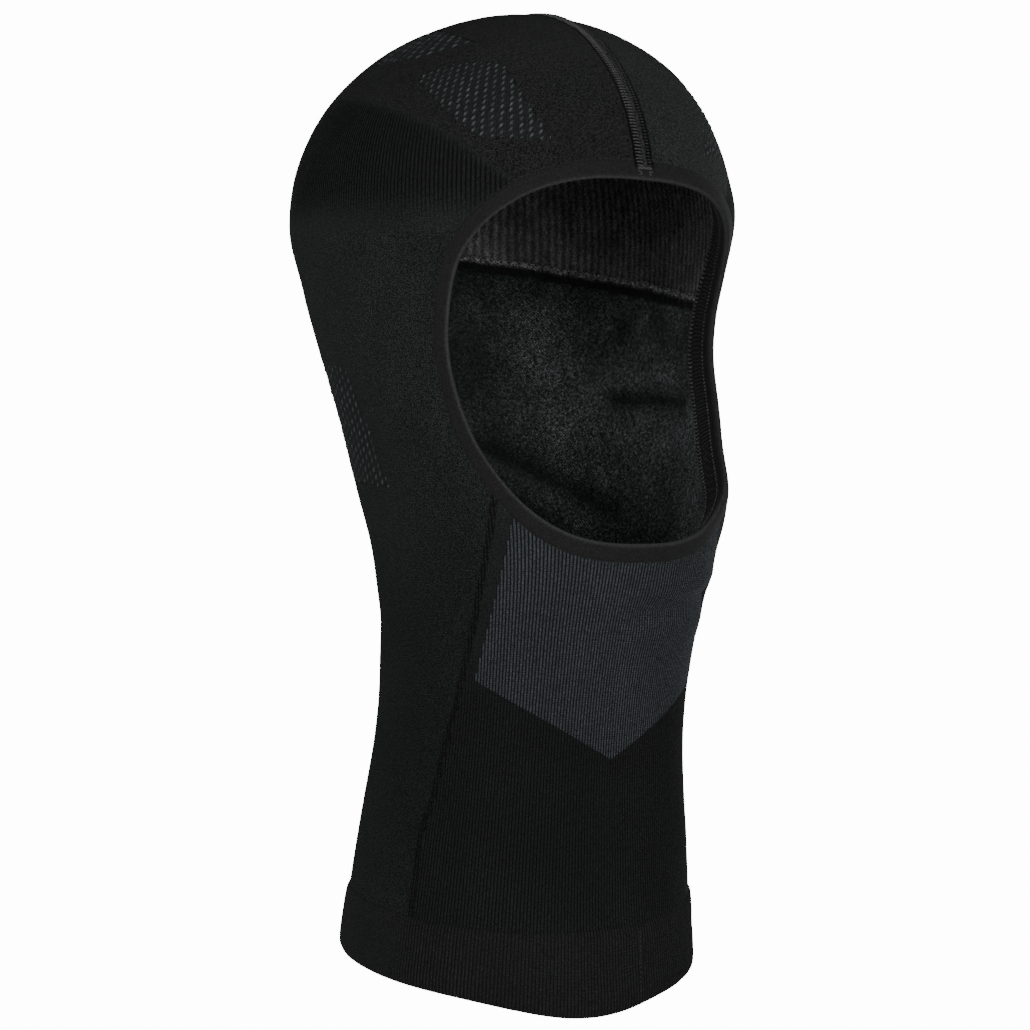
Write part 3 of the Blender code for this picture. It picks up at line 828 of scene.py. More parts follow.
def fabric(name, roughness, sheen):
    """A new material: its shader, the ribs around, the millimetres up and the place on the object."""
    material = bpy.data.materials.new(name)
    material.use_nodes = True
    tree = material.node_tree
    shader = tree.nodes["Principled BSDF"]
    shader.inputs["Roughness"].default_value = roughness
    shader.inputs["Specular IOR Level"].default_value = 0.05
    shader.inputs["Sheen Weight"].default_value = sheen
    shader.inputs["Sheen Roughness"].default_value = 0.5
    shader.inputs["Sheen Tint"].default_value = (0.8, 0.85, 0.9, 1.0)
    parts = node_of(tree, "ShaderNodeSeparateXYZ")
    joined(node_of(tree, "ShaderNodeUVMap", uv_map="cloth").outputs[0], parts.inputs[0])
    place = node_of(tree, "ShaderNodeTexCoord").outputs["Object"]
    return material, shader, parts.outputs[0], parts.outputs[1], place


def finished(shader, color, height, strength, distance):
    """Give the shader its colour, and a bump of the given strength and depth in metres."""
    joined(color, shader.inputs["Base Color"])
    node = node_of(shader.id_data, "ShaderNodeBump")
    node.inputs["Strength"].default_value = strength
    node.inputs["Distance"].default_value = distance
    joined(height, node.inputs["Height"])
    joined(node.outputs[0], shader.inputs["Normal"])


def stitches(wale, course, wales_per_unit, courses_per_unit):
    """The height of V-shaped jersey stitches, from 0 to 1."""
    leg = off_middle(worked_out("FRACT", times(wale, wales_per_unit)))
    slanted = worked_out("FRACT", plus(times(course, courses_per_unit), leg))
    ridge = worked_out("SINE", times(slanted, math.pi))
    round_leg = worked_out("SINE", times(leg, 2 * math.pi))
    return times(ridge, worked_out("MAXIMUM", round_leg, 0.15))


def slanted_grain(wale, course, pitch, waver):
    """Fine slanted ridges of tuck stitches, from 0 to 1; waver is a noise that breaks them up."""
    turns = worked_out("SUBTRACT", times(course, 1.0 / pitch), times(wale, 1.5 / pitch))
    turns = plus(turns, times(waver, 1.3))
    wave = worked_out("SINE", times(turns, 2 * math.pi))
    return plus(times(wave, 0.5), 0.5)


# ======== materials ========

def jersey(name, dark, light, wales=2.0, courses=1.15, laddered=False, flecks=FINE_GRAIN):
    """Fine plain knit: V stitches under a slanted grain, a little fuzz and uneven dye."""
    material, shader, wale, course, place = fabric(name, 0.85, 0.02)
    grain = noise_of(place, flecks, 2.0)
    slant = slanted_grain(wale, course, 1.05, noise_of(place, 420.0, 2.0))
    knit = plus(stitches(wale, course, wales, courses), times(slant, 0.8))
    uneven = stretched(noise_of(place, 30.0, 4.0), 0.3, 0.7, 0.72, 1.0)
    share = times(stretched(knit, 0.1, 1.5, 0.45, 1.0), uneven)
    share = times(share, stretched(grain, 0.36, 0.64, 0.1, 1.15))
    if laddered:
        share = times(share, stretched(marked(shader, "raised"), 0.0, 1.0, 1.0, 0.1))
    # the tone mask is the knit's stretch lightness, and painted shade in the seam welt's gutters
    color = blended(times(share, marked(shader, "tone")), dark, light)
    finished(shader, color, plus(knit, times(grain, 0.35)), 0.6, 0.0004)
    return material


def rib_knit(name, groove, face, plain_face, width=(0.08, 0.26), slackens=True):
    """Ribs with darker grooves between them, in plain_face's colour where the ribs fade out."""
    material, shader, wale, course, place = fabric(name, 0.85, 0.02)
    off_groove = worked_out("SUBTRACT", 0.5, off_middle(worked_out("FRACT", wale)))
    strength = marked(shader, "raised")
    in_groove = times(stretched(off_groove, *width, 1.0, 0.0), strength)
    knit = stitches(wale, course, 1.0, 1.25)
    grain = noise_of(place, FINE_GRAIN, 2.0)
    uneven = stretched(noise_of(place, 32.0, 3.0), 0.3, 0.7, 0.7, 1.0)
    bright = times(stretched(knit, 0.0, 0.9, 0.5, 1.0), stretched(grain, 0.36, 0.64, 0.25, 1.15))
    share = times(times(worked_out("SUBTRACT", 1.0, in_groove), bright), uneven)
    if slackens:
        share = times(share, marked(shader, "tone"))
    color = blended(share, groove, blended(strength, plain_face, face))
    finished(shader, color, plus(knit, times(grain, 0.4)), 0.5, 0.0003)
    return material


def vent_knit(name, ground, loop):
    """Dark ground with lighter loops where the mesh is raised."""
    material, shader, wale, course, place = fabric(name, 0.8, 0.02)
    grain = noise_of(place, FINE_GRAIN, 2.0)
    knit = stitches(wale, course, 1.0, 1.4)
    under = times(stretched(grain, 0.36, 0.64, 0.0, 0.3), knit)
    share = times(marked(shader, "raised"), stretched(grain, 0.3, 0.7, 0.4, 1.2))
    color = blended(worked_out("MAXIMUM", share, under), ground, loop)
    finished(shader, color, plus(knit, grain), 0.4, 0.0003)
    return material


def fleece(name, dark, light):
    """Brushed melange: bright and dark fibres over fine slanted courses."""
    material, shader, wale, course, place = fabric(name, 1.0, 0.05)
    mottled = noise_of(place, 760.0)
    fibre = noise_of(place, 1500.0)
    rows = slanted_grain(wale, course, 1.3, noise_of(place, 500.0, 2.0))
    # the mask brings the lining's painted light and shade, and the painted shade under the bead
    share = times(marked(shader, "raised"), stretched(mottled, 0.36, 0.64, 0.3, 1.15))
    share = times(share, stretched(fibre, 0.38, 0.64, 0.15, 1.3))
    share = times(share, stretched(rows, 0.0, 1.0, 0.35, 1.1))
    height = plus(times(rows, 0.5), plus(mottled, fibre))
    finished(shader, blended(share, dark, light), height, 0.7, 0.0005)
    return material


def wrong_side(name, dark, light):
    """The inside of the ribbed tube, where the paler plating yarn lies in fine upright lines; its grey is
    lifted further as painted light, for the light that reaches inside.
    """
    material, shader, wale, _, place = fabric(name, 0.95, 0.02)
    turns = plus(times(wale, 0.5), times(noise_of(place, 260.0, 2.0), 0.6))
    lines = stretched(worked_out("SINE", times(turns, 2 * math.pi)), -0.7, 0.8, 0.5, 1.0)
    grain = stretched(noise_of(place, 1400.0), 0.36, 0.66, 0.3, 1.1)
    mottled = stretched(noise_of(place, 90.0), 0.3, 0.7, 0.5, 1.0)
    color = blended(times(times(lines, grain), mottled), dark, light)
    finished(shader, color, plus(lines, grain), 0.6, 0.0004)
    return material


def band(name, dark, light, fold_highlight):
    """The elastic binding: close smooth knit, with a painted highlight along the fold."""
    material, shader, wale, course, place = fabric(name, 0.75, 0.03)
    knit = stitches(wale, course, 1.0, 1.6)
    grain = noise_of(place, FINE_GRAIN)
    lit = stretched(grain, 0.36, 0.64, 0.4, 1.1)
    smooth = blended(times(stretched(knit, 0.0, 0.9, 0.55, 1.0), lit), dark, light)
    # painted highlight: the fold's mask lays the pale highlight grey along the fold
    color = blended(times(marked(shader, "raised"), lit), smooth, fold_highlight)
    finished(shader, color, plus(knit, grain), 0.35, 0.0002)
    return material


def sewing_thread(name, dark, light):
    """Twisted thread: fine diagonal plies."""
    material, shader, _, _, place = fabric(name, 0.6, 0.05)
    ply = node_of(shader.id_data, "ShaderNodeTexWave", bands_direction="DIAGONAL")
    ply.inputs["Scale"].default_value = 700.0
    ply.inputs["Distortion"].default_value = 1.5
    joined(place, ply.inputs["Vector"])
    twist = ply.outputs["Fac"]
    finished(shader, blended(twist, dark, light), twist, 0.5, 0.0001)
    return material


def grey(level, tint=0.0):
    """A grey, a little bluer for a tint above nothing."""
    return (level * (1 - tint), level, level * (1 + tint))


# ======== cloth pieces ========

def rib_uv(angle, rise, points):
    """Ribs around, millimetres up."""
    return np.stack([angle / RIB_ANGLE, rise], axis=1)


def crown_uv(angle, rise, points):
    """On the crown the knit runs straight up to the seam from either side."""
    over = np.arctan2(np.abs(points[:, 0]), np.maximum(points[:, 2] + 25.0, 1.0)) * 80.0
    return np.stack([points[:, 1] / 1.55, over], axis=1)


def ribs_from(first, last, low, high):
    """A chart whose sides fall between two ribs."""
    first, last = sorted((first, last))
    return math.floor(first / RIB_ANGLE) * RIB_ANGLE, math.ceil(last / RIB_ANGLE) * RIB_ANGLE, low, high


def outline_chart(outline, sign):
    angles = [sign * angle for angle, _ in outline]
    rises = [rise for _, rise in outline]
    return ribs_from(min(angles), max(angles), min(rises), max(rises))


def make_zone(kind, side, chart, per_rib, row, depths, material, uv_of=rib_uv, mask=None, lined=False):
    """One knit zone, cut from its own chart and lifted on to the form; row is in millimetres."""
    name = kind + side
    columns = max(1, round((chart[1] - chart[0]) / RIB_ANGLE * per_rib))
    rows = max(1, round((chart[3] - chart[2]) / row))
    spots, faces = cut_cloth(chart, columns, rows, EDGE_LINES, knit_zone, kind)
    inner = "wrong_side" if lined else None
    item = knit_piece(name + "_knit", spots, faces, depths, material, uv_of, mask=mask, inner=inner)
    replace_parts(item, name)


def make_knit_zones():
    """The seamless tube, zone by zone."""
    low = HEM_TOP - 1.0
    chin = (-CHIN_CORNER[0], CHIN_CORNER[0], CHIN_TIP[1], CHIN_HIDDEN_TOP)
    under = level(-SHELL_THICKNESS)
    for kind, chart, per_rib, row, strength, material, flat in (
        ("head_rib_zone", (24.0, 336.0, -15.5, 51.0), 4, 3.0, head_ribs, "black_rib", (0.39, 0.062)),
        ("side_and_nape_panel", (41.0, 319.0, low, -1.0), 1, 3.0, level(0.0), "side", (0.34, 0.25)),
        ("neck_front_rib", (-70.5, 70.5, low, -95.0), 4, 4.0, neck_ribs, "neck_rib", (0.14, 0.16)),
        ("chin_panel", chin, 4, 3.0, level(1.0), "grey_rib", (0.11, 0.076)),
    ):
        depths = (ribbed(strength), ribbed_inside)
        chart = ribs_from(*chart)
        make_zone(kind, "", chart, per_rib, row, depths, material, mask=strength, lined=True)
    for side, sign in (("_right", -1), ("_left", 1)):
        chart = ribs_from(0.0, sign * 180.0, -1.0, APEX_RISE - APEX_GAP)
        make_zone(
            "crown_panel", side, chart, 1, 3.0, (plain, under), "crown" + side,
            uv_of=crown_uv, lined=True,
        )
        chart = ribs_from(sign * 41.0, sign * 72.5, low, -95.0)
        depths = (ladder_floats, under)
        make_zone("neck_ladder_strip", side, chart, 5, 3.0, depths, "strip", mask=ladder_gaps)
        for kind, outline, dots, per_rib, row, flat in (
            ("crown_front_mesh", FRONT_MESH, mesh_dots(2, MESH_PITCH), 5, 0.45, (0.047, 0.035)),
            ("crown_back_mesh", BACK_MESH, mesh_dots(4, 3.0), 3, 0.55, (0.048, 0.022)),
            ("nape_mesh", NAPE_MESH, mesh_dots(3, 3.0), 4, 0.6, (0.055, 0.048)),
        ):
            chart = outline_chart(outline, sign)
            depths = (mesh_relief(dots), under)
            make_zone(kind, side, chart, per_rib, row, depths, "mesh_knit", mask=dots)


def ladder_gaps(angle, rise):
    """Two dropped stitches run down between ribs and step over a rib as the strip turns: 1 in a gap."""
    middle = np.round(ladder_angle(rise) / RIB_ANGLE) * RIB_ANGLE
    off = np.abs(np.abs(angle) - middle) / RIB_ANGLE
    return np.exp(-(((off - 0.5) / 0.16) ** 2))


def ladder_floats(angle, rise):
    return plain(angle, rise) - 0.45 * ladder_gaps(angle, rise)


def fleece_folds(angle, rise):
    """How far the loose lining bulges inwards: folds are positive, the hollows between them negative."""
    return folded(angle % 360.0, rise, FLEECE_FOLDS)


def fleece_face(angle, rise):
    """The brushed inner face: soft clumps over the folds."""
    points = outer_point(angle, rise)
    clumps = 0.3 * soft_noise(points, 2.2, 21) + 0.45 * soft_noise(points, 6.0, 22)
    clumps = clumps + 0.9 * soft_noise(points, 24.0, 23)
    return -3.2 - clumps - fleece_folds(angle, rise)


def brushed(angle, rise):
    """How light the lining's pile looks: random upright clumps, with painted shade under the rolled edge, in
    the fold hollows, round the back and lower down, and painted light on the folds and in upright bands.
    """
    points = outer_point(angle, rise)
    around = angle % 360.0
    # painted shade in a band under the rolled edge
    edge = lining_top(around) - 3.0 + 1.2 * soft_noise(points, 14.0, 24) + 0.9 * soft_noise(points, 4.0, 25)
    tall = points * np.array((1.0, 1.0, 0.28))
    streaks = 0.45 * soft_noise(tall, 15.0, 26) + 0.45 * soft_noise(points, 9.0, 27)
    # painted light in upright bands where the lining faces the lamps
    for middle, top, low, width in PAINTED_LIGHT_STREAKS:
        way = (np.abs(angle) - middle) / width
        ends = soft_step(rise, low, low + 20.0) * soft_step(-rise, -top, 10.0 - top)
        streaks = streaks + 0.6 * np.exp(-way**2) * ends
    # painted light on the wearer's left front of the lining, fading to painted shade round the back and
    # lower down
    painted_falloff = 1.3 - 0.3 * soft_step(around, 95.0, 125.0) - 0.62 * soft_step(around, 122.0, 166.0)
    painted_falloff = painted_falloff - 0.2 * soft_step(-rise, 75.0, 110.0)
    # painted shade in the fold hollows and painted light on the folds
    painted_fold_light = np.clip(1.0 + 0.3 * fleece_folds(angle, rise), 0.25, 1.3)
    full = np.clip(0.55 + 0.5 * streaks, 0.1, 1.2) * painted_falloff * painted_fold_light
    return (0.2 + 0.8 * soft_step(edge - rise, 0.0, 1.6)) * full


def make_lining():
    """The brushed layer inside, from the hem to its rolled top edge."""
    lines = [ring_of(LINING_OPENING)] + lines_around(hem_top, lining_top)
    chart = (-180.0, 180.0, HEM_TOP, -2.5)
    spots, faces = cut_cloth(chart, 300, 125, lines, lining_zone, "inner_lining")
    item = knit_piece(
        "inner_lining_fleece", spots, faces, (level(-LINING_BACK), fleece_face), "fleece", rib_uv,
        wraps=True, mask=brushed,
    )
    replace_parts(item, "inner_lining")


def make_lining_ridge():
    """The lining's rolled edge: a lumpy fuzzy bead over a flat band, painted dark as the shade under the
    bead.
    """
    angle = np.linspace(57.0, 303.0, RIDGE_STATIONS)
    base = lining_top(angle)
    line = np.stack([angle, base, 0 * angle], axis=1)
    wander = 0.7 * soft_noise(line, 9.0, 31) + 0.45 * soft_noise(line, 3.5, 32)
    bulk = 1.0 + 0.35 * soft_noise(line, 4.0, 33) + 0.25 * soft_noise(line, 1.0, 34)
    # millimetres above the edge, depth
    outline = smooth_loop((
        (3.2, -2.0), (3.3, -3.3), (2.4, -4.1), (1.2, -3.9),
        (0.5, -3.4), (-2.9, -3.5), (-3.1, -2.6), (0.4, -2.0),
    ), 3)
    rises = base[:, None] + outline[None, :, 0] + wander[:, None]
    depths = -2.4 + (outline[None, :, 1] + 2.4) * bulk[:, None]
    angles = angle[:, None] + 0 * rises
    clumps = soft_noise(np.stack([rises, depths, angles], axis=-1), 0.8, 35)
    rings = cloth(angles, rises, depths + 0.3 * clumps)
    uv = (angles / RIB_ANGLE, rises)
    # painted shade: the flat band under the bead is dark
    masks = {"raised": soft_step(outline[:, 0], 0.2, 1.0)}
    item = swept("lining_top_bead_roll", rings, "fleece_ridge", False, uv, masks)
    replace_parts(item, "lining_top_bead")


# ======== binding ========

def facing_depth(distance):
    """The inner face of the facing leans away from the shell as it leaves the fold."""
    return -2.9 - FACING_SLOPE * (distance - 1.5) - 0.05 * np.maximum(distance - 1.5, 0) ** 0.5


def band_share(around):
    """How much of its width the band keeps along the fold; around is 0 at the brow, in radians."""
    return BAND_SHARE * (1.0 - (1.0 - CHEEK_BAND) * np.sin(around) ** 2)


def nearer_fold(angle, rise, count, keep):
    """Places beside the fold, a row for each station, moved in to a share of their distance."""
    fold_angle, fold_rise = (values[:, None] for values in rim_line(0.0, count))
    return fold_angle + (angle - fold_angle) * keep, fold_rise + (rise - fold_rise) * keep


def make_binding():
    """The folded band around the face and its facing inside; the band is narrower at the cheeks."""
    # millimetres out from the fold, depth
    profile = smooth_loop((
        (7.0, -0.1), (6.7, 0.3), (5.2, 0.42), (3.4, 0.42), (1.7, 0.4), (0.5, 0.15), (-0.1, -0.5),
        (-0.3, -1.3), (0.0, -2.1), (1.2, -2.85), (4.0, -4.0), (7.0, -5.35), (10.5, -6.95),
        (13.6, -8.3), (14.2, -7.9), (13.6, -7.1), (10.5, -5.8), (7.0, -3.6), (6.6, -1.4),
    ), 2)
    distance, depth = profile.T
    line = np.arange(BINDING_STATIONS)
    around = line[:, None] / BINDING_STATIONS * 2 * math.pi
    lines = np.array([rim_line(out, BINDING_STATIONS) for out in distance])
    keep = 1.0 - (1.0 - band_share(around)) * np.clip(depth + 1.0, 0, 1)
    angle, rise = nearer_fold(lines[:, 0].T, lines[:, 1].T, BINDING_STATIONS, keep)
    circle = np.hstack([np.cos(around), np.sin(around), 0 * around])
    wave = soft_noise(circle * 60.0, 9.0, 41)[:, None] * np.clip(distance / 14.0, 0, 1)
    rings = cloth(angle, rise, depth + 0.4 * wave)
    # painted highlight along the fold, faded on the wearer's left cheek, where less light falls
    at_fold = np.exp(-(((distance + 0.1) / 0.6) ** 2)) * (depth > -1.2)
    painted_highlight_fade = 1.0 - 0.75 * np.clip(np.sin(around), 0, 1)
    uv = (line[:, None] * 0.5, run_of(profile)[::-1])
    masks = {"raised": painted_highlight_fade * at_fold[::-1]}
    item = swept("face_binding_band", rings[:, ::-1], "binding", True, uv, masks)
    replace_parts(item, "face_binding")


def rim_strand(start, end, lift, arch):
    """Threads across the facing, each from one (station, distance) to another, arched off the cloth."""
    share = np.linspace(0, 1, 5)
    station = np.arange(FACING_STITCHES)[:, None] + start[0] + (end[0] - start[0]) * share
    distance = start[1] + (end[1] - start[1]) * share
    lines = np.array([rim_line(out, FACING_STITCHES) for out in distance])
    low = np.floor(station).astype(int)
    step = np.arange(len(share))
    before = lines[step, :, low % FACING_STITCHES]
    after = lines[step, :, (low + 1) % FACING_STITCHES]
    spots = before + (after - before) * (station - low)[..., None]
    depth = facing_depth(distance) - lift - arch * np.sin(math.pi * share)
    return cloth(spots[..., 0], spots[..., 1], depth)


def make_facing_rows():
    """Two rows of needle stitches around the facing, and the finer cover threads that join them."""
    front = rim_strand((0.0, 2.9), (0.5, 3.7), 0.12, 0.25)
    sew("binding_stitch_row_front", front, 0.2, "bright_thread")
    out = rim_strand((0.0, 11.0), (0.5, 11.9), 0.12, 0.25)
    back = rim_strand((0.5, 11.9), (0.0, 12.9), 0.12, 0.25)
    sew("binding_stitch_row_back", np.concatenate([out, back]), 0.2, "bright_thread")
    across = rim_strand((0.0, 4.4), (0.7, 10.4), 0.05, 0.2)
    item = threads("facing_cover_threads", across, 0.14, "thread")


def make_edge_stitches():
    """Small sunk stitches in the groove along the binding's outer edge."""
    lift = np.array((-0.1, 0.14, 0.14, -0.1))
    count = EDGE_STITCHES * len(lift)
    around = np.arange(count)[:, None] / count * 2 * math.pi
    edge_angle, edge_rise = (values[:, None] for values in rim_line(BINDING_WIDTH + 0.35, count))
    angle, rise = nearer_fold(edge_angle, edge_rise, count, band_share(around))
    strands = cloth(angle.reshape(-1, len(lift)), rise.reshape(-1, len(lift)), lift)
    item = threads("binding_edge_stitches", strands, 0.15, "dark_thread", 5)


# ======== crown seam ========

def seam_line(count, lowest):
    """Evenly spaced points up the brow, over the crown and down behind, and the way off the cloth."""
    top = APEX_RISE - APEX_GAP
    last = float(rib_top(180.0)) + 0.5
    angle = np.repeat((0.0, 180.0), 400)
    rise = np.concatenate([np.linspace(lowest, top, 400), np.linspace(top, last, 400)])
    edge = float(rim_line(BINDING_WIDTH * BAND_SHARE, 200)[1][0])
    points = cloth(angle, rise, 0.45 * soft_step(edge + 0.8 - rise, 0.0, 1.2))
    points[:, 0] = 0.0
    travelled = run_of(points)
    wanted = np.linspace(0, travelled[-1], count)
    points = np.stack([np.interp(wanted, travelled, points[:, axis]) for axis in range(3)], axis=1)
    along = unit(np.gradient(points, axis=0))
    return points, np.stack([np.zeros(count), -along[:, 2], along[:, 1]], axis=1)


def on_seam(line, station, side, lift):
    """A point beside the seam: side is towards the wearer's left, lift is off the cloth."""
    points, up = line
    low = np.clip(np.floor(station).astype(int), 0, len(points) - 2)
    part = (station - low)[..., None]
    base = points[low] * (1 - part) + points[low + 1] * part
    normal = up[low] * (1 - part) + up[low + 1] * part
    side, lift = np.asarray(side)[..., None], np.asarray(lift)[..., None]
    return base + normal * (lift - side ** 2 / 160.0) + side * np.array([1.0, 0, 0])


def make_seam_welt(line):
    """The welt between two gutters, painted dark as shade."""
    # millimetres to the wearer's left, millimetres off the cloth
    profile = smooth_loop((
        (-3.95, -0.4), (-3.7, 0.16), (-2.6, 0.1), (-1.15, 0.12), (-0.85, 0.7), (-0.4, 1.05),
        (0.3, 1.05), (0.7, 0.7), (1.0, 0.12), (2.3, 0.08), (3.7, 0.16), (4.0, -0.4),
    ), 3)
    station = np.arange(SEAM_STATIONS, dtype=float)[:, None]
    along = np.hstack([station, 0 * station, 0 * station])
    sides = profile[:, 0] + 0.2 * soft_noise(along * 0.3, 6.0, 51)[:, None]
    lifts = profile[:, 1] * (1 + 0.12 * soft_noise(along, 5.0, 52))[:, None]
    rings = on_seam(line, station + 0 * sides, sides, lifts)
    uv = (station * 0.3, sides)
    # painted shade: the tone darkens the gutters on both sides of the crest nearly to black
    masks = {"tone": 0.04 + 0.96 * soft_step(-np.abs(profile[:, 0]), -1.12, -0.8)}
    item = swept("crown_seam_welt_ridge", rings, "welt", False, uv, masks)
    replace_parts(item, "crown_seam_welt")


def make_seam_threads(line):
    """Ladder stitches over the gutter on one side, and a sunk row in the gutter on the other."""
    share = np.linspace(0, 1, 6)
    arch = np.sin(math.pi * share)
    ladder = []
    for index in range(LADDER_RUNGS):
        centre = (index + 0.5) * SEAM_STATIONS / LADDER_RUNGS
        lean = 0.9 + 0.7 * lattice(np.array([index, 2, 3]), 61)
        lift = 0.5 + 0.3 * arch - 0.25 * share
        ladder.append(on_seam(line, centre + lean * share, -0.7 - 2.7 * share, lift))
    sew("crown_seam_ladder_stitch", ladder, 0.3, "seam_thread")
    sunk = []
    pitch = SEAM_STATIONS / SUNK_STITCHES
    for index in range(SUNK_STITCHES):
        centre = (index + 0.5) * pitch
        sunk.append(on_seam(line, centre + pitch * 0.5 * share, 2.1 + 0.12 * arch, 0.2 + 0.3 * arch))
        sunk.append(on_seam(line, centre + pitch * 0.3 + 0.5 * share, 1.2 + 1.9 * share, 0.2 + 0.05 * arch))
    sew("crown_seam_edge_stitch", sunk, 0.18, "edge_thread")


def make_crown_seam():
    """The seam from the middle of the binding over the crown to the rib zone behind."""
    line = seam_line(SEAM_STATIONS, float(rim_line(SEAM_LOWEST, 200)[1][0]))
    make_seam_welt(line)
    make_seam_threads(line)


def make_brow_tack():
    """A dense bar of threads across the seam's end on the binding, with two loose hooked ends."""
    line = seam_line(900, float(rim_line(0.0, 400)[1][0]) + 1.0)
    share = np.linspace(0, 1, 7)
    arch = np.sin(math.pi * share)
    strands = []
    for index in range(TACK_BARS):
        lift = 0.3 + 0.5 * arch + 0.08 * (index % 2)
        strands.append(on_seam(line, 9.0 + index * 0.85 + 0.6 * share, -3.3 + 6.4 * share, lift))
    turn = np.linspace(0.2, 5.2, 12)
    for centre, way in ((-2.3, -1.0), (2.4, 1.0)):
        for size in (1.2, 0.75):
            side = centre + size * 0.75 * np.cos(turn) * way
            lift = 0.3 + 0.2 * np.sin(2 * turn)
            strands.append(on_seam(line, 3.8 + size * 2.6 * np.sin(turn), side, lift))
    sew("brow_bar_tack", strands, 0.14, "seam_thread")


# ======== hem ========

def make_hem():
    """The turned double hem: ribbed in front, plain behind, with a soft roll at both edges."""
    # share of the way down from the top edge, millimetres of rise added, depth
    profile = smooth_loop((
        (0.0, -0.1, 0.0), (0.0, -1.6, 0.85), (0.0, -6.0, 1.0), (0.5, 0.0, 0.8),
        (1.0, 6.0, 0.85), (1.0, 2.0, 0.55), (1.0, 0.2, -0.5), (1.0, 0.0, -1.4),
        (1.0, 0.6, -2.4), (1.0, 3.0, -3.1), (0.5, 0.0, -3.2), (0.0, -3.0, -3.1),
        (0.0, -0.3, -2.6), (0.0, -0.1, -1.3),
    ), 3)
    count = RIB_COUNT * 4
    angle = -180.0 + 360.0 * np.arange(count) / count
    top, bottom = hem_top(angle)[:, None], hem_bottom(angle)[:, None]
    rises = top + (bottom - top) * profile[:, 0] + profile[:, 1]
    angles = angle[:, None] + 0 * rises
    depths = profile[:, 2]
    on_front = 1 / (1 + np.exp((np.abs(angles + 6.0) - 66.0) / 3.0))
    relief = rib_relief(angles, HEM_RIB_DEPTH) * (0.35 + 0.65 * on_front) * (depths > -1.0)
    circle = np.stack([np.cos(np.radians(angles)) * 60, np.sin(np.radians(angles)) * 60, rises], axis=-1)
    roll = 0.3 * soft_noise(circle, 16.0, 71) + 0.15 * soft_noise(circle, 5.0, 72)
    rings = cloth(angles, rises, depths + relief + roll)
    uv = (angles / RIB_ANGLE, run_of(np.stack([rises[0], depths], axis=1))[::-1])
    masks = {"raised": on_front, "tone": stretch_tone(rises)}
    item = swept("neck_hem_band", rings[:, ::-1], "hem", True, uv, masks)
    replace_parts(item, "neck_hem")


def make_hem_seam():
    """The hem's join: a sunk line of short stitches that slants a little."""
    strands = []
    share = np.linspace(0, 1, 5)
    rises = np.linspace(float(hem_top(11.0)) - 2.5, float(hem_bottom(11.0)) + 3.0, HEM_SEAM_STITCHES + 1)
    for index in range(HEM_SEAM_STITCHES):
        rise = rises[index] + (rises[index + 1] - rises[index]) * 0.85 * share
        angle = 11.4 - 0.7 * index / HEM_SEAM_STITCHES + 0.25 * share
        strands.append(cloth(angle, rise, 0.62 + 0.16 * np.sin(math.pi * share)))
    sew("hem_join_seam", strands, 0.2, "dark_thread")


# ======== stage ========

def seen_as_backdrop(socket, strength):
    """The stage looks white to the eye, but lights the garment only with the given strength."""
    to_camera = node_of(socket.id_data, "ShaderNodeLightPath").outputs["Is Camera Ray"]
    joined(plus(times(to_camera, BACKDROP_STRENGTH - strength), strength), socket)


def placed(name, data, spot):
    item = bpy.data.objects.new(name, data)
    item.location = spot
    bpy.context.scene.collection.objects.link(item)
    return item


def make_floor():
    """A pale floor under the hem."""
    low = float(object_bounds()[0][2])
    data = bpy.data.meshes.new("floor")
    corners = [(x * FLOOR_REACH, y * FLOOR_REACH, 0) for x, y in ((-1, -1), (1, -1), (1, 1), (-1, 1))]
    data.from_pydata(corners, [], [(0, 1, 2, 3)])
    floor = placed("floor", data, (0.0, 0.0, low - 0.001))
    material = bpy.data.materials.new("floor")
    material.use_nodes = True
    shader = material.node_tree.nodes["Principled BSDF"]
    shader.inputs["Base Color"].default_value = (0.8, 0.8, 0.8, 1.0)
    shader.inputs["Roughness"].default_value = 0.9
    shader.inputs["Emission Color"].default_value = (1.0, 1.0, 1.0, 1.0)
    seen_as_backdrop(shader.inputs["Emission Strength"], 0.0)
    data.materials.append(material)


def make_light():
    """An even pale surround and four soft lamps."""
    world = bpy.data.worlds.new("surround")
    world.use_nodes = True
    background = world.node_tree.nodes["Background"]
    background.inputs["Color"].default_value = (1.0, 1.0, 1.0, 1.0)
    seen_as_backdrop(background.inputs["Strength"], SURROUND_STRENGTH)
    bpy.context.scene.world = world
    for name, spot, power, size in LAMPS:
        lamp = bpy.data.lights.new(name, "AREA")
        lamp.energy = power
        lamp.size = size
        item = placed(name, lamp, spot)
        item.rotation_mode = "QUATERNION"
        item.rotation_quaternion = (Vector(LAMPS_AIM) - Vector(spot)).to_track_quat("-Z", "Y")


def make_camera():
    """The camera stands level with the middle of the garment, to the wearer's right."""
    turn = math.radians(VIEW_AZIMUTH)
    forward = (-math.sin(turn), math.cos(turn))
    right = (math.cos(turn), math.sin(turn))
    camera = bpy.data.cameras.new("camera")
    camera.lens = VIEW_LENS
    camera.sensor_width = 36.0
    camera.clip_start = 0.01
    spot = [right[axis] * VIEW_SHIFT - forward[axis] * VIEW_DISTANCE for axis in (0, 1)]
    item = placed("camera", camera, (*spot, VIEW_HEIGHT))
    item.rotation_euler = (math.pi / 2, 0.0, turn)
    bpy.context.scene.camera = item


# ======== the garment ========

GROOVE = places(rim_line(SHELL_CUT, 88))
LINING_OPENING = places(rim_line(LINING_CUT, 60))
CHIN_OUTLINE = chin_outline()
EDGE_LINES = both_charts(zone_edges())

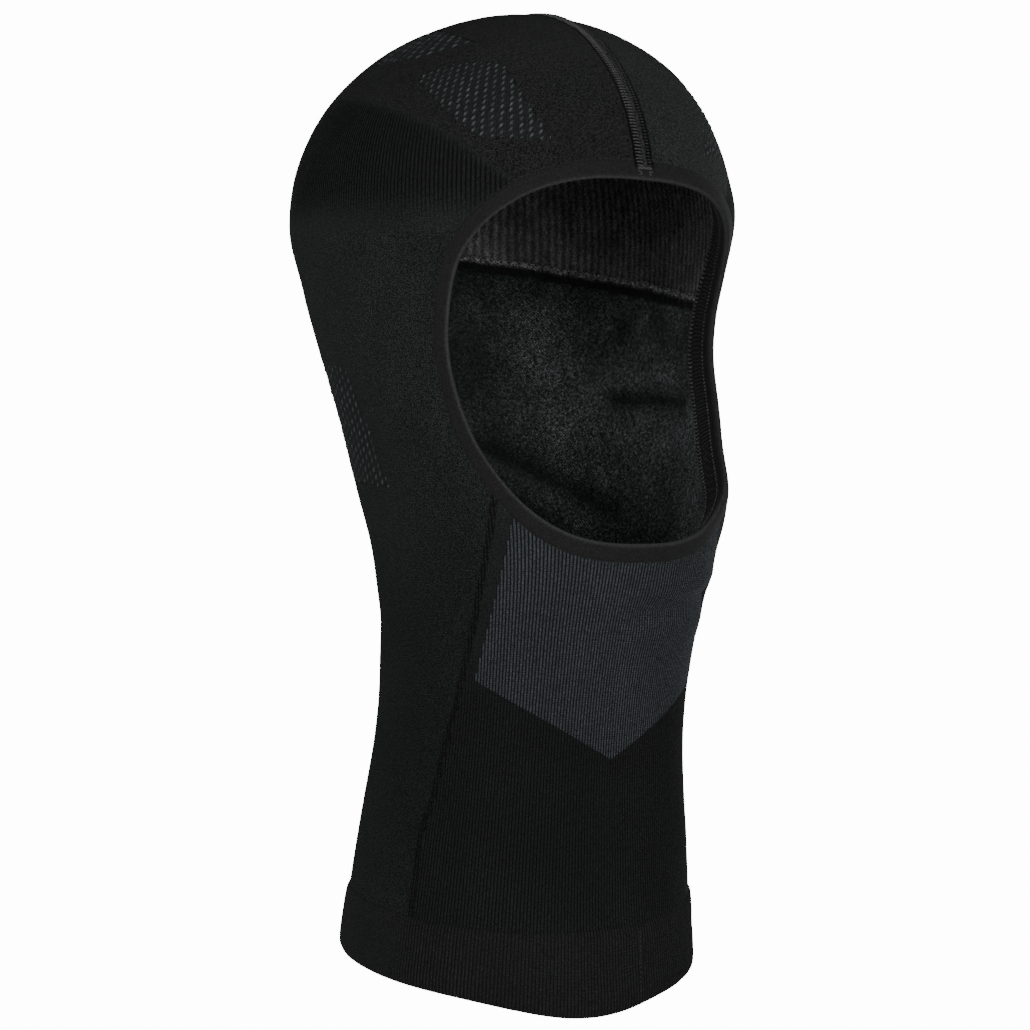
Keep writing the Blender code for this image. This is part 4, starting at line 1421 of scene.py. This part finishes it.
MATERIALS = {
    "side": jersey("side_knit", grey(0.001), (0.0284, 0.0332, 0.0314)),
    # the two crown panels are one knit: the wearer's left panel is a lighter grey as painted light, for the
    # lamps falling on that side
    "crown_right": jersey(
        "crown_knit_right", grey(0.001), grey(0.0248), wales=1.8, courses=1.0, flecks=1650.0,
    ),
    "crown_left": jersey("crown_knit_left_painted_light", grey(0.0015), (0.0335, 0.0362, 0.0353), wales=1.8, courses=1.0),
    "strip": jersey("strip_knit", grey(0.0008), grey(0.025), laddered=True),
    "black_rib": rib_knit(
        "black_rib", grey(0.0024), (0.0184, 0.0198, 0.0193), (0.0240, 0.0270, 0.0260), width=(0.1, 0.34),
    ),
    "neck_rib": rib_knit("neck_rib", grey(0.003), (0.0212, 0.0222, 0.0219), (0.0195, 0.0212, 0.0205)),
    "grey_rib": rib_knit(
        "grey_rib", grey(0.007, 0.05), (0.0575, 0.0655, 0.0710), (0.0575, 0.0655, 0.0710),
        width=(0.14, 0.34), slackens=False,
    ),
    "hem": rib_knit("hem_knit", grey(0.0035), (0.0232, 0.0238, 0.0235), (0.0245, 0.0255, 0.0250)),
    # the wrong side's light grey is partly the paler plating yarn and partly painted light inside the hood
    "wrong_side": wrong_side("wrong_side_knit", grey(0.010), grey(0.185)),
    "mesh_knit": vent_knit("mesh_knit", grey(0.006, 0.04), (0.070, 0.0795, 0.079)),
    # the binding's last grey is the painted highlight along the fold
    "binding": band("binding", grey(0.003), grey(0.0142), grey(0.036)),
    "welt": jersey("welt_knit", grey(0.0008), grey(0.045), wales=1.0),
    "fleece": fleece("fleece_lining", (0.0040, 0.0045, 0.0045), (0.158, 0.176, 0.173)),
    "fleece_ridge": fleece("fleece_ridge", grey(0.01), grey(0.31, 0.02)),
    "thread": sewing_thread("sewing_thread", grey(0.012), grey(0.04)),
    "seam_thread": sewing_thread("seam_thread", grey(0.018), grey(0.06)),
    "bright_thread": sewing_thread("bright_thread", grey(0.03), grey(0.10)),
    "edge_thread": sewing_thread("edge_thread", grey(0.012), grey(0.04)),
    "dark_thread": sewing_thread("dark_thread", grey(0.008), grey(0.028)),
}

make_camera()
make_knit_zones()
make_lining()
make_lining_ridge()
make_binding()
make_facing_rows()
make_edge_stitches()
make_crown_seam()
make_brow_tack()
make_hem()
make_hem_seam()
make_floor()
make_light()
